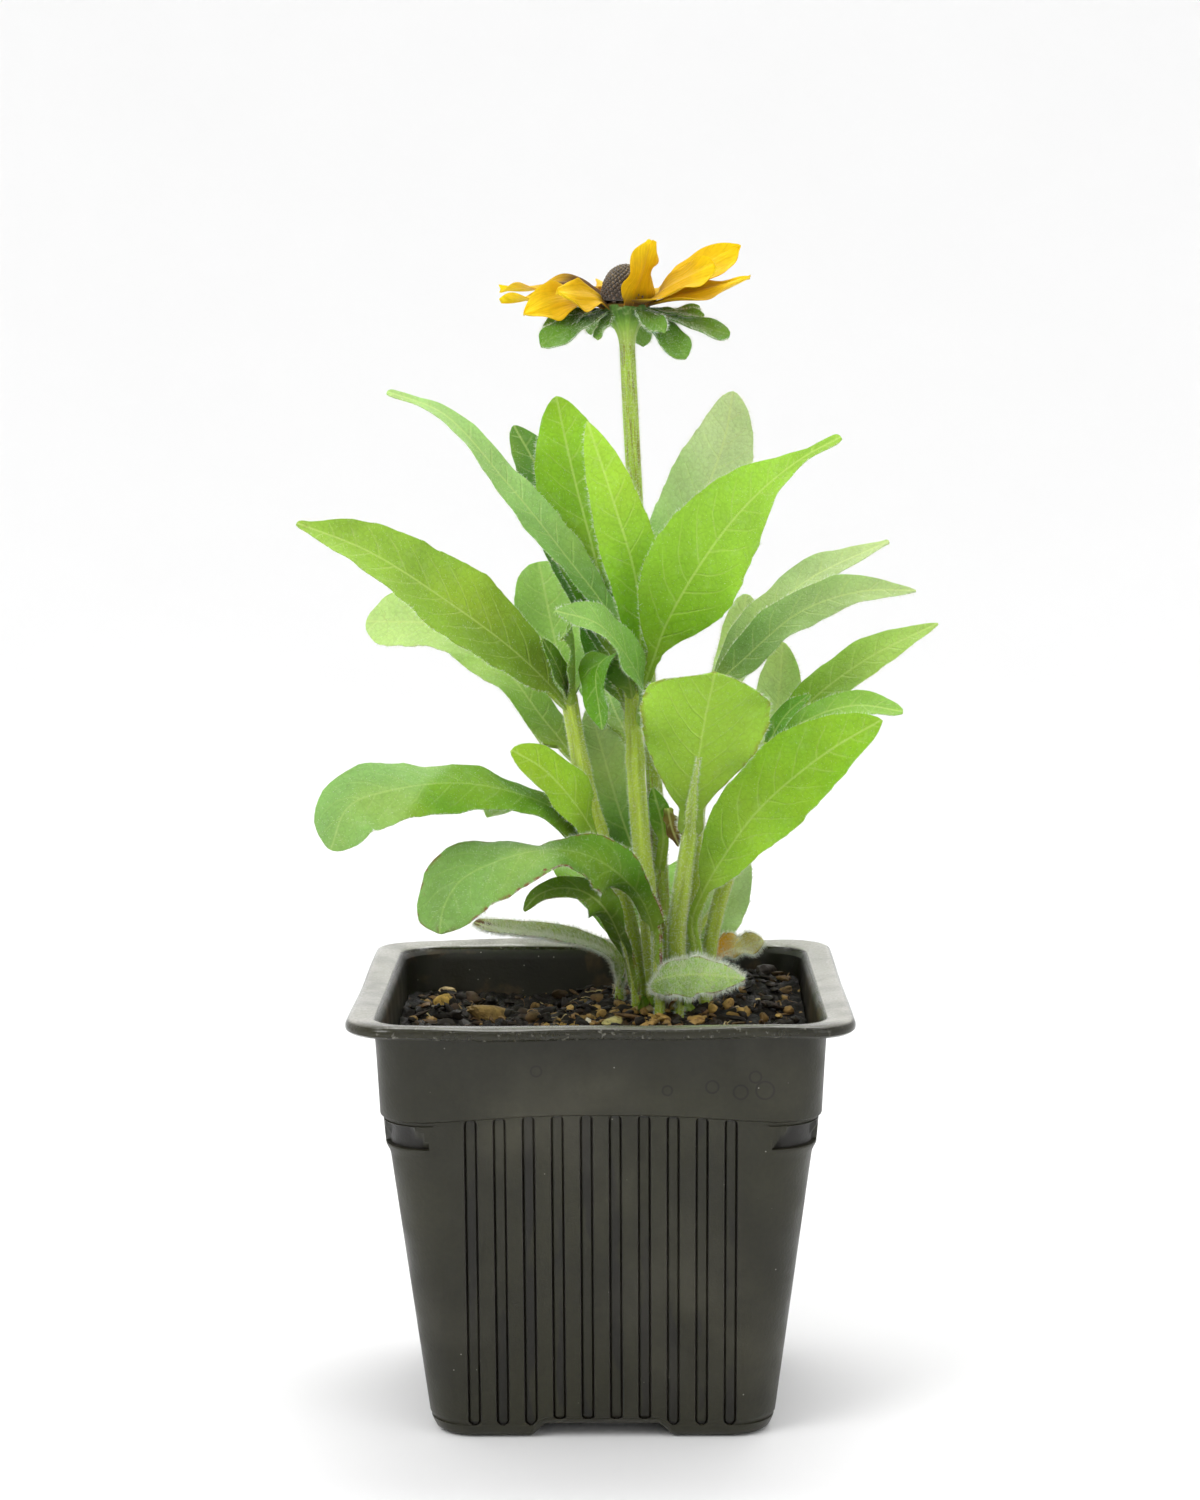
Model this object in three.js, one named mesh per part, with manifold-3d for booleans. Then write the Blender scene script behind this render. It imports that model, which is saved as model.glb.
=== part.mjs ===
// A potted dwarf rudbeckia: one young plant with a single open flower in a square nursery pot.
// Millimetres. The ground is z = 0 under the middle of the pot and the front of the pot looks along -Y.
import * as THREE from 'three';
import { mergeVertices } from 'three/addons/utils/BufferGeometryUtils.js';
import Module from 'manifold-3d';

const wasm = await Module();
wasm.setup();
const { Manifold, Mesh } = wasm;

// Pot
const POT_HEIGHT = 97;
const LIP_HALF = 56;
const LIP_DROP = 3;
const BAND_TOP_HALF = 50;
const BAND_BOTTOM_HALF = 48.9;
const BAND_BOTTOM_Z = 75.3;
const WALL_TOP_HALF = 48.1;
const WALL_FOOT_HALF = 39.2;
const WALL_FOOT_Z = 4.5;
const BASE_HALF = 36.3;
const CORNER_RADIUS = 10.5;
const WALL = 1.5;
const FLOOR = 1.8;
const GROOVE_COUNT = 10;
const GROOVE_PITCH = 6.35;
const GROOVE_WIDTH = 2.6;
const GROOVE_DEPTH = 0.8;
const GROOVE_TOP_Z = 74.9;
const GROOVE_FOOT_Z = 3;
const BAY_WIDTH = 26;
const BAY_HEIGHT = 2.8;
const BAY_REACH = 19;
const BAY_RAMP = 4;
const DRAIN_RADIUS = 3;
const POCKET_TOP_Z = 73.6;
const POCKET_FOOT_Z = 68;
const POCKET_REACH = 36;
const POCKET_DEPTH = 0.6;
const SWELL = 0.7;
const RIB_FOOT_Z = 27;
const RIB_Y0 = 6;
const RIB_Y1 = 10;
const GAP = 0.3;

// Soil
const SOIL_Z = 86;
const MOUND_HEIGHT = 3.2;
const MOUND_REACH = 26;
const CROWN_X = 15;
const CROWN_Y = 13;
const SOIL_CELLS = 12;
const CRUMB_COUNT = 18;
const FOOT_Z = 80;
const SHOULDER_Z = 93;
const WELL_GAP = 0.6;

// Plant
const STEM_SIDES = 7;
const STEM_STEPS = 6;
const LEAF_EDGE = 0.6;
const LEAF_RIB = 1.3;
const LEAF_ROWS = 6;
const PETIOLE_HALF = 1.3;
const TOOTH = 0.05;
const FLOWER_STEM_RADIUS = 2;

// Flower
const HEAD_X = 6;
const HEAD_Y = 8;
const HEAD_Z = 252;
const CUP_RADIUS = 5.2;
const RING_RADIUS = 6.4;
const RING_THICK = 1.3;
const PEG_RADIUS = 2.2;
const CONE_RADIUS = 5.8;
const CONE_HEIGHT = 10.4;
const PETAL_START = 5.4;
const BRACT_START = 3;
const PETAL_EDGE = 0.6;
const PETAL_PLEAT = 0.3;

const vec = (x, y, z) => new THREE.Vector3(x, y, z);

// A repeatable source of random numbers from 0 to 1.
function seeded(seed) {
  let state = seed;
  return () => {
    state = (state * 1664525 + 1013904223) % 4294967296;
    return state / 4294967296;
  };
}

// Turns points and triangles into a solid, whichever way round the triangles run.
function solid(points, faces) {
  const vertProperties = new Float32Array(points.flatMap((p) => [p.x, p.y, p.z]));
  const build = (list) => {
    const triVerts = new Uint32Array(list.flat());
    return new Manifold(new Mesh({ numProp: 3, vertProperties, triVerts }));
  };
  const made = build(faces);
  return made.volume() > 0 ? made : build(faces.map(([a, b, c]) => [a, c, b]));
}

// Joins rings that have the same number of points into a closed solid.
function loft(rings) {
  const count = rings[0].length;
  const points = rings.flat();
  const faces = [];
  for (let r = 0; r + 1 < rings.length; r++) {
    for (let i = 0; i < count; i++) {
      const a = r * count + i;
      const b = r * count + (i + 1) % count;
      faces.push([a, b, a + count], [b, b + count, a + count]);
    }
  }
  const last = (rings.length - 1) * count;
  for (let i = 1; i + 1 < count; i++) {
    faces.push([0, i + 1, i], [last, last + i, last + i + 1]);
  }
  return solid(points, faces);
}

// A level square ring with round corners.
function squareRing(half, radius, z, sway = 0) {
  const CORNER_STEPS = 4;
  const SIDE_STEPS = 2;
  const ring = [];
  for (let corner = 0; corner < 4; corner++) {
    const start = corner * Math.PI / 2;
    const cx = (half - radius) * (corner === 0 || corner === 3 ? 1 : -1);
    const cy = (half - radius) * (corner < 2 ? 1 : -1);
    for (let s = 0; s <= CORNER_STEPS; s++) {
      const angle = start + s / CORNER_STEPS * Math.PI / 2;
      ring.push(vec(cx + radius * Math.cos(angle), cy + radius * Math.sin(angle), z));
    }
    const from = ring[ring.length - 1];
    const turn = start + Math.PI / 2;
    for (let s = 1; s < SIDE_STEPS; s++) {
      const along = s / SIDE_STEPS * 2 * (half - radius);
      ring.push(vec(from.x - Math.sin(turn) * along, from.y + Math.cos(turn) * along, z));
    }
  }
  ring.forEach((p) => {
    p.z += sway * (Math.sin(p.x * 0.11 + 0.7) * Math.cos(p.y * 0.09 + p.x * 0.05) + Math.max(0, p.y) * 0.02);
  });
  return ring;
}

// A block whose section in the X-Z plane is drawn by corner points, run along Y from y0 to y1.
function prism(section, y0, y1) {
  return loft([y0, y1].map((y) => section.map(([x, z]) => vec(x, y, z))));
}

function fourWays(one) {
  return Manifold.union([0, 90, 180, 270].map((turn) => one.rotate([0, 0, turn])));
}

// A raised arch under the middle of one side, which lets water drain away.
function bay(grow) {
  const half = BAY_WIDTH / 2 + grow;
  const top = BAY_HEIGHT + grow;
  const outer = BASE_HALF + 10;
  const inner = BASE_HALF - BAY_REACH - grow;
  return prism([[-half - BAY_RAMP, -1], [half + BAY_RAMP, -1], [half, top], [-half, top]], -outer, -inner);
}

function wallHalfAt(z) {
  const share = (z - WALL_FOOT_Z) / (BAND_BOTTOM_Z - WALL_FOOT_Z);
  return WALL_FOOT_HALF + (WALL_TOP_HALF - WALL_FOOT_HALF) * share;
}

function makePot() {
  const outside = loft([
    squareRing(BASE_HALF, CORNER_RADIUS - 3, 0),
    squareRing(BASE_HALF + 1.6, CORNER_RADIUS - 1.5, 1),
    squareRing(WALL_FOOT_HALF, CORNER_RADIUS, WALL_FOOT_Z),
    squareRing(WALL_TOP_HALF, CORNER_RADIUS, BAND_BOTTOM_Z - 0.7),
    squareRing(BAND_BOTTOM_HALF, CORNER_RADIUS, BAND_BOTTOM_Z),
    squareRing(BAND_TOP_HALF, CORNER_RADIUS, POT_HEIGHT - 3.4),
    squareRing(BAND_TOP_HALF + 1.2, CORNER_RADIUS + 1, POT_HEIGHT - 2.2, 0.2),
    squareRing(LIP_HALF - 2, CORNER_RADIUS + 1, POT_HEIGHT - 2.2, 0.3),
    squareRing(LIP_HALF - 1.2, CORNER_RADIUS + 1, POT_HEIGHT - LIP_DROP, 0.4),
    squareRing(LIP_HALF, CORNER_RADIUS + 1.5, POT_HEIGHT - LIP_DROP + 0.7, 0.4),
    squareRing(LIP_HALF, CORNER_RADIUS + 1.5, POT_HEIGHT - 1.1, 0.4),
    squareRing(LIP_HALF - 1, CORNER_RADIUS + 1, POT_HEIGHT - 0.3, 0.4),
    squareRing(LIP_HALF - 2.6, CORNER_RADIUS, POT_HEIGHT - 0.25, 0.3),
    squareRing(BAND_TOP_HALF, CORNER_RADIUS - 1, POT_HEIGHT - 0.7, 0.1),
  ]);
  const hollow = loft([
    squareRing(WALL_FOOT_HALF - WALL - 1.6, CORNER_RADIUS - 3, FLOOR),
    squareRing(WALL_FOOT_HALF - WALL - 0.2, CORNER_RADIUS - 2, WALL_FOOT_Z + 0.5),
    squareRing(WALL_TOP_HALF - WALL, CORNER_RADIUS - 1.5, BAND_BOTTOM_Z - 1),
    squareRing(BAND_BOTTOM_HALF - WALL, CORNER_RADIUS - 1.5, BAND_BOTTOM_Z + 0.5),
    squareRing(BAND_TOP_HALF - WALL, CORNER_RADIUS - 1.5, POT_HEIGHT - 2.2),
    squareRing(BAND_TOP_HALF - WALL + 1.3, CORNER_RADIUS - 1, POT_HEIGHT - 0.6),
    squareRing(BAND_TOP_HALF - WALL + 1.3, CORNER_RADIUS - 1, POT_HEIGHT + 2),
  ]).subtract(fourWays(bay(WALL)));

  const grooves = [];
  for (let i = 0; i < GROOVE_COUNT; i++) {
    const x = (i - (GROOVE_COUNT - 1) / 2) * GROOVE_PITCH;
    const half = GROOVE_WIDTH / 2;
    const at = (z, dx, depth) => vec(x + dx, -wallHalfAt(z) + depth, z);
    const slice = (z, dx) => [
      at(z, -dx, GROOVE_DEPTH),
      at(z, dx, GROOVE_DEPTH),
      at(z, dx, -4),
      at(z, -dx, -4),
    ];
    const slices = [slice(GROOVE_FOOT_Z, half), slice(GROOVE_TOP_Z - 0.7, half), slice(GROOVE_TOP_Z, half * 0.6)];
    grooves.push(loft(slices));
  }

  // Under the band each corner swells a little, with a shallow pocket let into it.
  const swell = loft([
    squareRing(wallHalfAt(POCKET_FOOT_Z - 2), CORNER_RADIUS, POCKET_FOOT_Z - 2),
    squareRing(wallHalfAt(POCKET_FOOT_Z) + SWELL, CORNER_RADIUS, POCKET_FOOT_Z - 0.6),
    squareRing(wallHalfAt(POCKET_TOP_Z) + SWELL * 0.6, CORNER_RADIUS, POCKET_TOP_Z),
  ]);
  const cornerSpace = Manifold.cube([20, 20, 20]).translate([POCKET_REACH, POCKET_REACH, POCKET_FOOT_Z - 5]);
  const corners = swell.intersect(fourWays(cornerSpace));
  const pocketSpace = Manifold.cube([20, 20, POCKET_TOP_Z - POCKET_FOOT_Z - 0.5])
    .translate([POCKET_REACH + 1.5, POCKET_REACH + 1.5, POCKET_FOOT_Z]);
  const core = loft([POCKET_FOOT_Z - 1, POCKET_TOP_Z + 1].map(
    (z) => squareRing(wallHalfAt(z) - POCKET_DEPTH, CORNER_RADIUS, z)));
  const pockets = fourWays(pocketSpace).subtract(core);

  // A narrow rib stands upright on the right wall while the wall slopes in behind it.
  const ribFace = BAND_BOTTOM_HALF - 1.2;
  const ribSlice = (z, inner, outer) => [vec(inner, RIB_Y0, z), vec(outer, RIB_Y0, z), vec(outer, RIB_Y1, z),
    vec(inner, RIB_Y1, z)];
  const rib = loft([
    ribSlice(RIB_FOOT_Z, ribFace - 8, ribFace - 0.8),
    ribSlice(RIB_FOOT_Z + 1.5, ribFace - 8, ribFace),
    ribSlice(BAND_BOTTOM_Z - 4, ribFace - 4, ribFace),
  ]);

  const drain = Manifold.cylinder(20, DRAIN_RADIUS, DRAIN_RADIUS, 10, true)
    .translate([0, -(BASE_HALF - BAY_REACH / 2), 0]);
  return outside
    .subtract(fourWays(Manifold.union(grooves)))
    .add(corners)
    .subtract(pockets)
    .add(rib)
    .subtract(hollow)
    .subtract(fourWays(bay(0)))
    .subtract(fourWays(drain));
}

// Curves and blades of the plant

function curveThrough(list) {
  return new THREE.CatmullRomCurve3(list.map(([x, y, z]) => vec(x, y, z)), false, 'centripetal');
}

// A round stem along a curve, thicker at the foot than at the top.
function stem(list, footRadius, topRadius, steps = STEM_STEPS, sides = STEM_SIDES) {
  const curve = curveThrough(list);
  const rings = [];
  let side = vec(1, 0, 0);
  for (let i = 0; i <= steps; i++) {
    const point = curve.getPointAt(i / steps);
    const along = curve.getTangentAt(i / steps);
    side = side.clone().addScaledVector(along, -side.dot(along)).normalize();
    const other = along.clone().cross(side);
    const radius = footRadius + (topRadius - footRadius) * i / steps;
    const ring = [];
    for (let k = 0; k < sides; k++) {
      const angle = k / sides * Math.PI * 2;
      ring.push(point.clone().addScaledVector(side, radius * Math.cos(angle))
        .addScaledVector(other, radius * Math.sin(angle)));
    }
    rings.push(ring);
  }
  return loft(rings);
}

// Half width of a blade at share t of its length: a stalk first, then a lance or egg shape.
function halfWidth(form, t) {
  const stalk = PETIOLE_HALF * (form.stalkWidth ?? 1);
  const start = form.petiole ?? 0.1;
  if (t <= start) {
    return stalk;
  }
  const share = (t - start) / (1 - start);
  const tip = form.tip ?? 0.8;
  const widest = form.widest ?? 0.45;
  const rise = tip * widest / (1 - widest);
  const peak = Math.pow(widest, rise) * Math.pow(1 - widest, tip);
  const egg = Math.pow(share, rise) * Math.pow(1 - share, tip) / peak;
  return Math.max(form.half * egg, stalk * (1 - share), (form.end ?? 0.04) * form.half);
}

// A thin closed blade laid along a curve. Its upper side looks along "face", which may turn from base to tip.
function blade(form, columns, riseAt, thickAt) {
  const curve = curveThrough(form.mid);
  const rows = form.rows ?? LEAF_ROWS;
  const count = columns.length;
  const upper = [];
  const lower = [];
  for (let i = 0; i <= rows; i++) {
    const t = i / rows;
    const point = curve.getPointAt(t);
    const along = curve.getTangentAt(t);
    const face = vec(...form.face[0]).lerp(vec(...form.face[1]), t);
    face.addScaledVector(along, -face.dot(along)).normalize();
    const across = along.clone().cross(face);
    const tooth = 1 + (form.tooth ?? TOOTH) * (i % 2 ? 1 : -1);
    const half = halfWidth(form, t) * (i === rows ? 1 : tooth);
    for (const c of columns) {
      const middle = point.clone().addScaledVector(across, c * half)
        .addScaledVector(face, riseAt(c, t, half));
      const thick = thickAt(c, t);
      upper.push(middle.clone().addScaledVector(face, thick * 0.4));
      lower.push(middle.clone().addScaledVector(face, -thick * 0.6));
    }
  }
  const faces = [];
  const under = upper.length;
  const strip = (a, b) => faces.push([a, b, a + under], [b, b + under, a + under]);
  for (let i = 0; i < rows; i++) {
    for (let c = 0; c + 1 < count; c++) {
      const a = i * count + c;
      const quad = [[a, a + 1, a + count], [a + 1, a + count + 1, a + count]];
      quad.forEach(([p, q, r]) => faces.push([p, q, r], [p + under, r + under, q + under]));
    }
    strip(i * count, i * count + count);
    strip(i * count + 2 * count - 1, i * count + count - 1);
  }
  for (let c = 0; c + 1 < count; c++) {
    strip(c + 1, c);
    strip(rows * count + c, rows * count + c + 1);
  }
  return solid([...upper, ...lower], faces);
}

const LEAF_COLUMNS = [-1, -0.55, 0, 0.55, 1];
const PLAIN_COLUMNS = [-1, 0, 1];

function leaf(form) {
  const columns = form.plain ? PLAIN_COLUMNS : LEAF_COLUMNS;
  const fold = form.fold ?? 0.22;
  const wave = form.wave ?? 0.1;
  const turns = form.turns ?? 2.5;
  const rise = (c, t, half) => half * (fold * Math.pow(Math.abs(c), 1.4)
    + wave * c * c * Math.sin(turns * Math.PI * 2 * t + (c > 0 ? 0.8 : 2.6)));
  const thick = (c, t) => LEAF_EDGE + (LEAF_RIB * (1 - 0.45 * t) - LEAF_EDGE) * Math.pow(1 - Math.abs(c), 2)
    + (t < 0.12 ? 0.5 : 0);
  return blade(form, columns, rise, thick);
}

// A shoot: its stem and the leaves that grow from it, as one body.
function shoot(stems, leaves) {
  const parts = stems.map((s) => stem(s.line, s.foot, s.top, s.steps));
  return Manifold.union([...parts, ...leaves.map((form) => leaf(form))]);
}

const LEFT_STEM = {
  line: [[9, 14, FOOT_Z], [9, 14, SHOULDER_Z], [5.2, 11, 112],
    [0, 8, 128], [-4, 6, 143], [-7.5, 5, 163]],
  foot: 2.3, top: 1.9,
};
const LEFT_LEAVES = [
  // the long leaf that points out to the upper left
  {
    mid: [[-7, 5, 159], [-18.5, -2, 172.6], [-36, -10, 186.8], [-52, -16, 197.6], [-67.5, -20, 204.2]],
    half: 11.2, face: [[0.5, -0.7, 0.6], [0.3, -0.7, 0.7]], tip: 0.9, widest: 0.42,
  },
  // the blunt leaf behind it
  {
    mid: [[-6, 7, 147], [-14.5, 18, 157], [-24, 27, 168], [-38, 34, 176.8], [-57, 39, 178]],
    half: 8.2, face: [[0.3, -0.7, 0.7], [0.3, -0.9, 0.5]], tip: 0.3, widest: 0.7, end: 0.6,
  },
  // a short round leaf at the back of the stem's top
  {
    mid: [[-6.5, 6, 159], [-11, 26, 174], [-15, 34, 192.5]],
    half: 8.2, face: [[0, -1, 0.4], [0, -1, 0.2]], tip: 0.42, widest: 0.62, rows: 6,
  },
  // the small bright leaf low on the left of the stem
  {
    mid: [[0, 7.5, 126.5], [-6, 0, 138], [-13.5, -4, 147], [-20.5, -6, 151.5]],
    half: 6.4, face: [[0.6, -0.7, 0.5], [0.5, -0.8, 0.5]], tip: 0.5, rows: 7,
  },
  // the big leaf that arches over to the left and hangs down at its end
  {
    mid: [[-1, 8, 128], [-12.5, -2, 138.2], [-30, -12, 144], [-47, -18, 143.4], [-59, -22, 140],
      [-62.4, -23, 132]],
    half: 8.6, face: [[0.3, -0.6, 0.8], [-0.6, -0.7, 0.4]], tip: 0.3, widest: 0.62, end: 0.6,
    fold: -0.12, rows: 10,
  },
  // young leaves at the tip of the stem
  {
    mid: [[-7, 5, 161], [-10, -1, 170], [-13.5, -3, 177]],
    half: 3.6, face: [[0.7, -0.5, 0.4], [0.7, -0.5, 0.4]], rows: 5, plain: true,
  },
  {
    mid: [[-7, 4, 161], [-6.5, -1, 171], [-7, -6, 179], [-9, -9, 177]],
    half: 3.6, face: [[-0.7, -0.1, 0.5], [-0.7, -0.4, 0.5]], rows: 5, plain: true,
  },
  // a leaf at the back, below the others
  {
    mid: [[4.5, 10, 117], [-5, 24, 128], [-17, 42, 134], [-29, 57, 128]],
    half: 8.2, face: [[0, -0.3, 1], [0, 0.5, 0.9]], tip: 0.7, widest: 0.55,
  },
];

const MIDDLE_STEM = {
  line: [[12.5, 7, FOOT_Z], [12.5, 7, SHOULDER_Z], [10.2, 6, 119], [8.2, 6, 143], [7.5, 6, 165]],
  foot: 2.3, top: 2,
};
const MIDDLE_LEAVES = [
  // the long narrow leaf that rises to the upper left
  {
    mid: [[7, 6, 162], [2.5, 8, 180], [-8.5, 10, 195.4], [-22, 12, 212.2], [-36.5, 13, 228],
      [-49.5, 14, 233.2]],
    half: 5.5, face: [[0.5, -0.6, 0.6], [0.4, -0.6, 0.7]], tip: 1.1, widest: 0.42,
  },
  // the broad upright leaf at the top of the shoot
  {
    mid: [[7, 7, 162], [2.5, 10, 178], [-1.5, 17, 195], [-6.5, 24, 214], [-10.5, 30, 232]],
    half: 9.6, face: [[0, -1, 0.2], [0, -1, 0.2]], tip: 0.66, widest: 0.58,
  },
  {
    mid: [[6.5, 7, 160], [-3.5, 20, 186], [-13, 32, 210.5], [-21, 40, 225]],
    half: 6.6, face: [[0.3, -1, 0.2], [0.3, -1, 0.2]], tip: 0.6, widest: 0.6, rows: 6, plain: true,
  },
  {
    mid: [[8, 5, 163], [9.2, 2, 178], [8, -1, 191], [3, -4, 208.5], [-2.8, -4, 226.5]],
    half: 6.6, face: [[0.1, -1, 0.2], [0.2, -1, 0.2]], widest: 0.5,
  },
  // the broad leaf at the upper right with a long narrow tip
  {
    mid: [[9, 5, 163], [12, 1, 172], [15, -3, 180], [21.5, -9, 192], [29.5, -14, 203.5],
      [37.5, -18, 212], [45.6, -22, 218.4], [53.6, -24, 222.8]],
    half: 11.4, face: [[0.4, -0.9, 0.3], [0, -0.6, 0.8]], tip: 1.6, widest: 0.4, petiole: 0.12,
    rows: 11,
  },
  // the arching leaf in front
  {
    mid: [[9, 5, 156], [9.5, -3, 165], [6, -9, 173], [-0.5, -16, 181], [-10, -22, 184.5]],
    half: 6, face: [[0.5, -0.5, 0.7], [0.4, -0.6, 0.7]], rows: 8,
  },
  // darker leaves inside the shoot
  {
    mid: [[7, 7, 158], [1.5, 17, 174], [-1, 22, 195]],
    half: 6, face: [[0, -1, 0.3], [0, -1, 0.2]], rows: 6, plain: true,
  },
  {
    mid: [[7.5, 5, 162], [3.5, 0, 172.5], [-0.5, -3, 170], [0.5, -4, 156]],
    half: 6, face: [[-0.3, 0, 1], [-0.9, -0.6, 0.3]], rows: 8, tip: 0.6,
  },
  // the leaf seen between the two left stems
  {
    mid: [[9.5, 7, 121], [4.6, 15, 133.5], [0.8, 17, 146.5], [-3, 20, 159.5]],
    half: 7.5, face: [[0, -1, 0.2], [0, -1, 0.2]],
  },
  // a leaf at the back
  {
    mid: [[7.5, 7, 150], [3, 20, 158], [1, 40, 163], [4, 58, 156]],
    half: 8.6, face: [[0, -0.3, 1], [0, 0.5, 0.9]], tip: 0.7, widest: 0.5,
  },
];

const FRONT_STEM = {
  line: [[18, 8, FOOT_Z], [18, 8, SHOULDER_Z], [17.5, 6, 107], [19, 3, 120], [20.5, 1, 132]],
  foot: 2.3, top: 1.8,
};
const FRONT_LEAVES = [
  // the broad leaf seen from below in the middle of the plant; its end folds over to the front
  {
    mid: [[20.5, 1, 130], [21, -5, 140], [22.5, -11, 152], [24, -17, 162], [25, -22, 168],
      [25.5, -26.5, 169.4], [26, -29.5, 166.6]],
    half: 14.6, face: [[0, 0.8, 0.5], [0, -0.3, 1]], tip: 0.33, widest: 0.66, petiole: 0.04, fold: 0.1,
    rows: 11,
  },
];

const RIGHT_STEM = {
  line: [[21, 20, FOOT_Z], [21, 20, SHOULDER_Z], [22, 18, 113], [23, 16, 142], [24, 14, 161]],
  foot: 2, top: 1.6,
};
const RIGHT_LEAVES = [
  // two silvery narrow leaves at the right
  {
    mid: [[24, 14, 158], [28, 18, 165.8], [35.2, 22, 175.2], [48, 26, 187.4], [68.5, 28, 197.4]],
    half: 6, face: [[-0.4, -0.6, 0.7], [-0.2, -0.5, 0.8]], widest: 0.5,
  },
  {
    mid: [[24, 14, 158], [27.5, 12, 164.5], [34.5, 11, 171.6], [46.5, 9, 181.8], [60, 7, 186.6],
      [73, 6, 187]],
    half: 6.2, face: [[-0.4, -0.6, 0.7], [-0.1, -0.7, 0.7]], widest: 0.42,
  },
  // leaves behind them
  {
    mid: [[24, 15, 156], [32.3, 34, 170], [35.2, 42, 184]],
    half: 4.8, face: [[0, -1, 0.4], [0, -1, 0.2]], tip: 0.5, widest: 0.6, rows: 6, plain: true,
  },
  {
    mid: [[23, 17, 137], [33, 34, 149], [43, 50, 151], [50, 62, 144]],
    half: 8, face: [[0, -0.3, 1], [0.3, 0.5, 0.9]], widest: 0.5,
  },
];

const OUTER_STEM = {
  line: [[24.5, 13.5, FOOT_Z], [24.5, 13.5, SHOULDER_Z], [26.5, 13, 108],
    [31, 12, 124], [37, 11, 139], [39.5, 10, 151]],
  foot: 1.9, top: 1.6,
};
const OUTER_LEAVES = [
  {
    mid: [[38, 11, 147.5], [48.5, 18, 159.2], [63, 23, 169.6], [80, 25, 178]],
    half: 5.4, face: [[-0.3, -0.8, 0.5], [-0.2, -0.7, 0.7]], widest: 0.48,
  },
  {
    mid: [[38, 10, 148], [47.5, 4, 156.8], [58.5, 0, 160.8], [69.5, -2, 159.6]],
    half: 4.2, face: [[-0.2, -0.7, 0.7], [0, -0.6, 0.8]], tip: 0.5, widest: 0.6,
  },
  {
    mid: [[36.5, 12, 141], [42, 29, 158], [43.6, 34, 173]],
    half: 6.2, face: [[0, -1, 0.4], [0, -1, 0.2]], tip: 0.6, rows: 6, plain: true,
  },
  {
    mid: [[38, 11, 148], [43, 12, 157], [49, 12, 162.5]],
    half: 3, face: [[-0.5, -0.6, 0.6], [-0.5, -0.6, 0.6]], rows: 5, plain: true,
  },
];

// Leaves that rise straight from the soil beside the stems, each with its own round foot.
const BASAL_LEAVES = {
  basal_leaf_left: {
    foot: [13.5, 1],
    mid: [[13.5, 1, 92], [12.5, 1, 104], [11.5, 0, 114], [5, -7, 122.8], [-8.5, -14, 127.8],
      [-23, -22, 127], [-34, -27, 121.8], [-36.6, -29, 112]],
    half: 9.2, face: [[-0.5, -0.6, 0.5], [-0.5, -0.6, 0.6]], tip: 0.42, widest: 0.62, petiole: 0.24,
    fold: -0.1, rows: 12,
  },
  basal_leaf_narrow: {
    foot: [8, 6],
    mid: [[8, 6, 92], [6.5, 2.5, 103], [4, -2, 109], [0, -6, 114.5], [-8.5, -12, 119.5],
      [-18, -16, 118]],
    half: 6, face: [[-0.7, -0.4, 0.5], [-0.2, -0.6, 0.8]], petiole: 0.2,
  },
  basal_leaf_rim: {
    foot: [4, 18],
    mid: [[4, 18, 91.5], [2, 19, 96], [-5, 21, 99.6], [-16, 24, 102.6], [-31, 27, 104.8]],
    half: 4, face: [[-0.4, -0.3, 0.9], [0.1, -0.5, 0.9]], tip: 0.4, widest: 0.5, petiole: 0.16,
  },
  basal_leaf_low: {
    foot: [18, 1.5],
    mid: [[18, 1.5, 91.5], [19, -1, 96], [23, -4, 100], [28, -7, 102], [34, -10, 100]],
    half: 5.2, face: [[-0.6, -0.3, 0.8], [0.1, -0.6, 0.8]], petiole: 0.16, rows: 8,
  },
  basal_leaf_pale: {
    foot: [19.5, 26],
    mid: [[19.5, 26, 92], [23, 30, 102.5], [28.5, 35, 111], [34.5, 40, 121]],
    half: 8.4, face: [[-0.2, -1, 0.4], [-0.2, -1, 0.3]], tip: 0.6, widest: 0.4, rows: 7,
  },
  basal_leaf_right: {
    foot: [24, 7.5],
    mid: [[24, 7.5, 92], [23.5, 6.5, 107], [26.5, 5, 120], [37.4, 1, 137.5], [51.8, -4, 150.4],
      [64.2, -8, 158.4]],
    half: 10.6, face: [[-0.3, -0.9, 0.3], [-0.2, -0.8, 0.5]], petiole: 0.3, widest: 0.52, tip: 0.7,
    rows: 11,
  },
  basal_leaf_back_left: {
    foot: [10, 22],
    mid: [[10, 22, 92], [6, 30, 102], [-3, 43, 114], [-13, 57, 117], [-21, 68, 109]],
    half: 8.2, face: [[-0.2, -0.4, 0.9], [-0.2, 0.6, 0.8]], petiole: 0.16,
  },
  basal_leaf_back_right: {
    foot: [15, 27],
    mid: [[15, 27, 92], [17, 36, 104], [22, 52, 113], [28, 66, 111], [32, 75, 102]],
    half: 8, face: [[0, -0.5, 0.9], [0.2, 0.6, 0.8]], petiole: 0.16,
  },
};

function footOf(foot, radius) {
  return stem([[foot[0], foot[1], FOOT_Z], [foot[0], foot[1], 88], [foot[0], foot[1], 93]], radius, radius * 0.85, 2);
}

const BASAL_FOOT_RADIUS = 1.6;

function basalLeaf(form) {
  return footOf(form.foot, BASAL_FOOT_RADIUS).add(leaf({ wave: 0.1, ...form }));
}

const DEAD_LEAF = {
  foot: [28, 19],
  mid: [[28, 19, 91.5], [29.5, 20, 96], [33, 22, 99.5], [39.5, 26, 101.5]],
  half: 4.2, face: [[-0.3, -0.5, 0.8], [0, -0.7, 0.7]], fold: 0.5, wave: 0.25, rows: 7,
};

// Flower head

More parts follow.
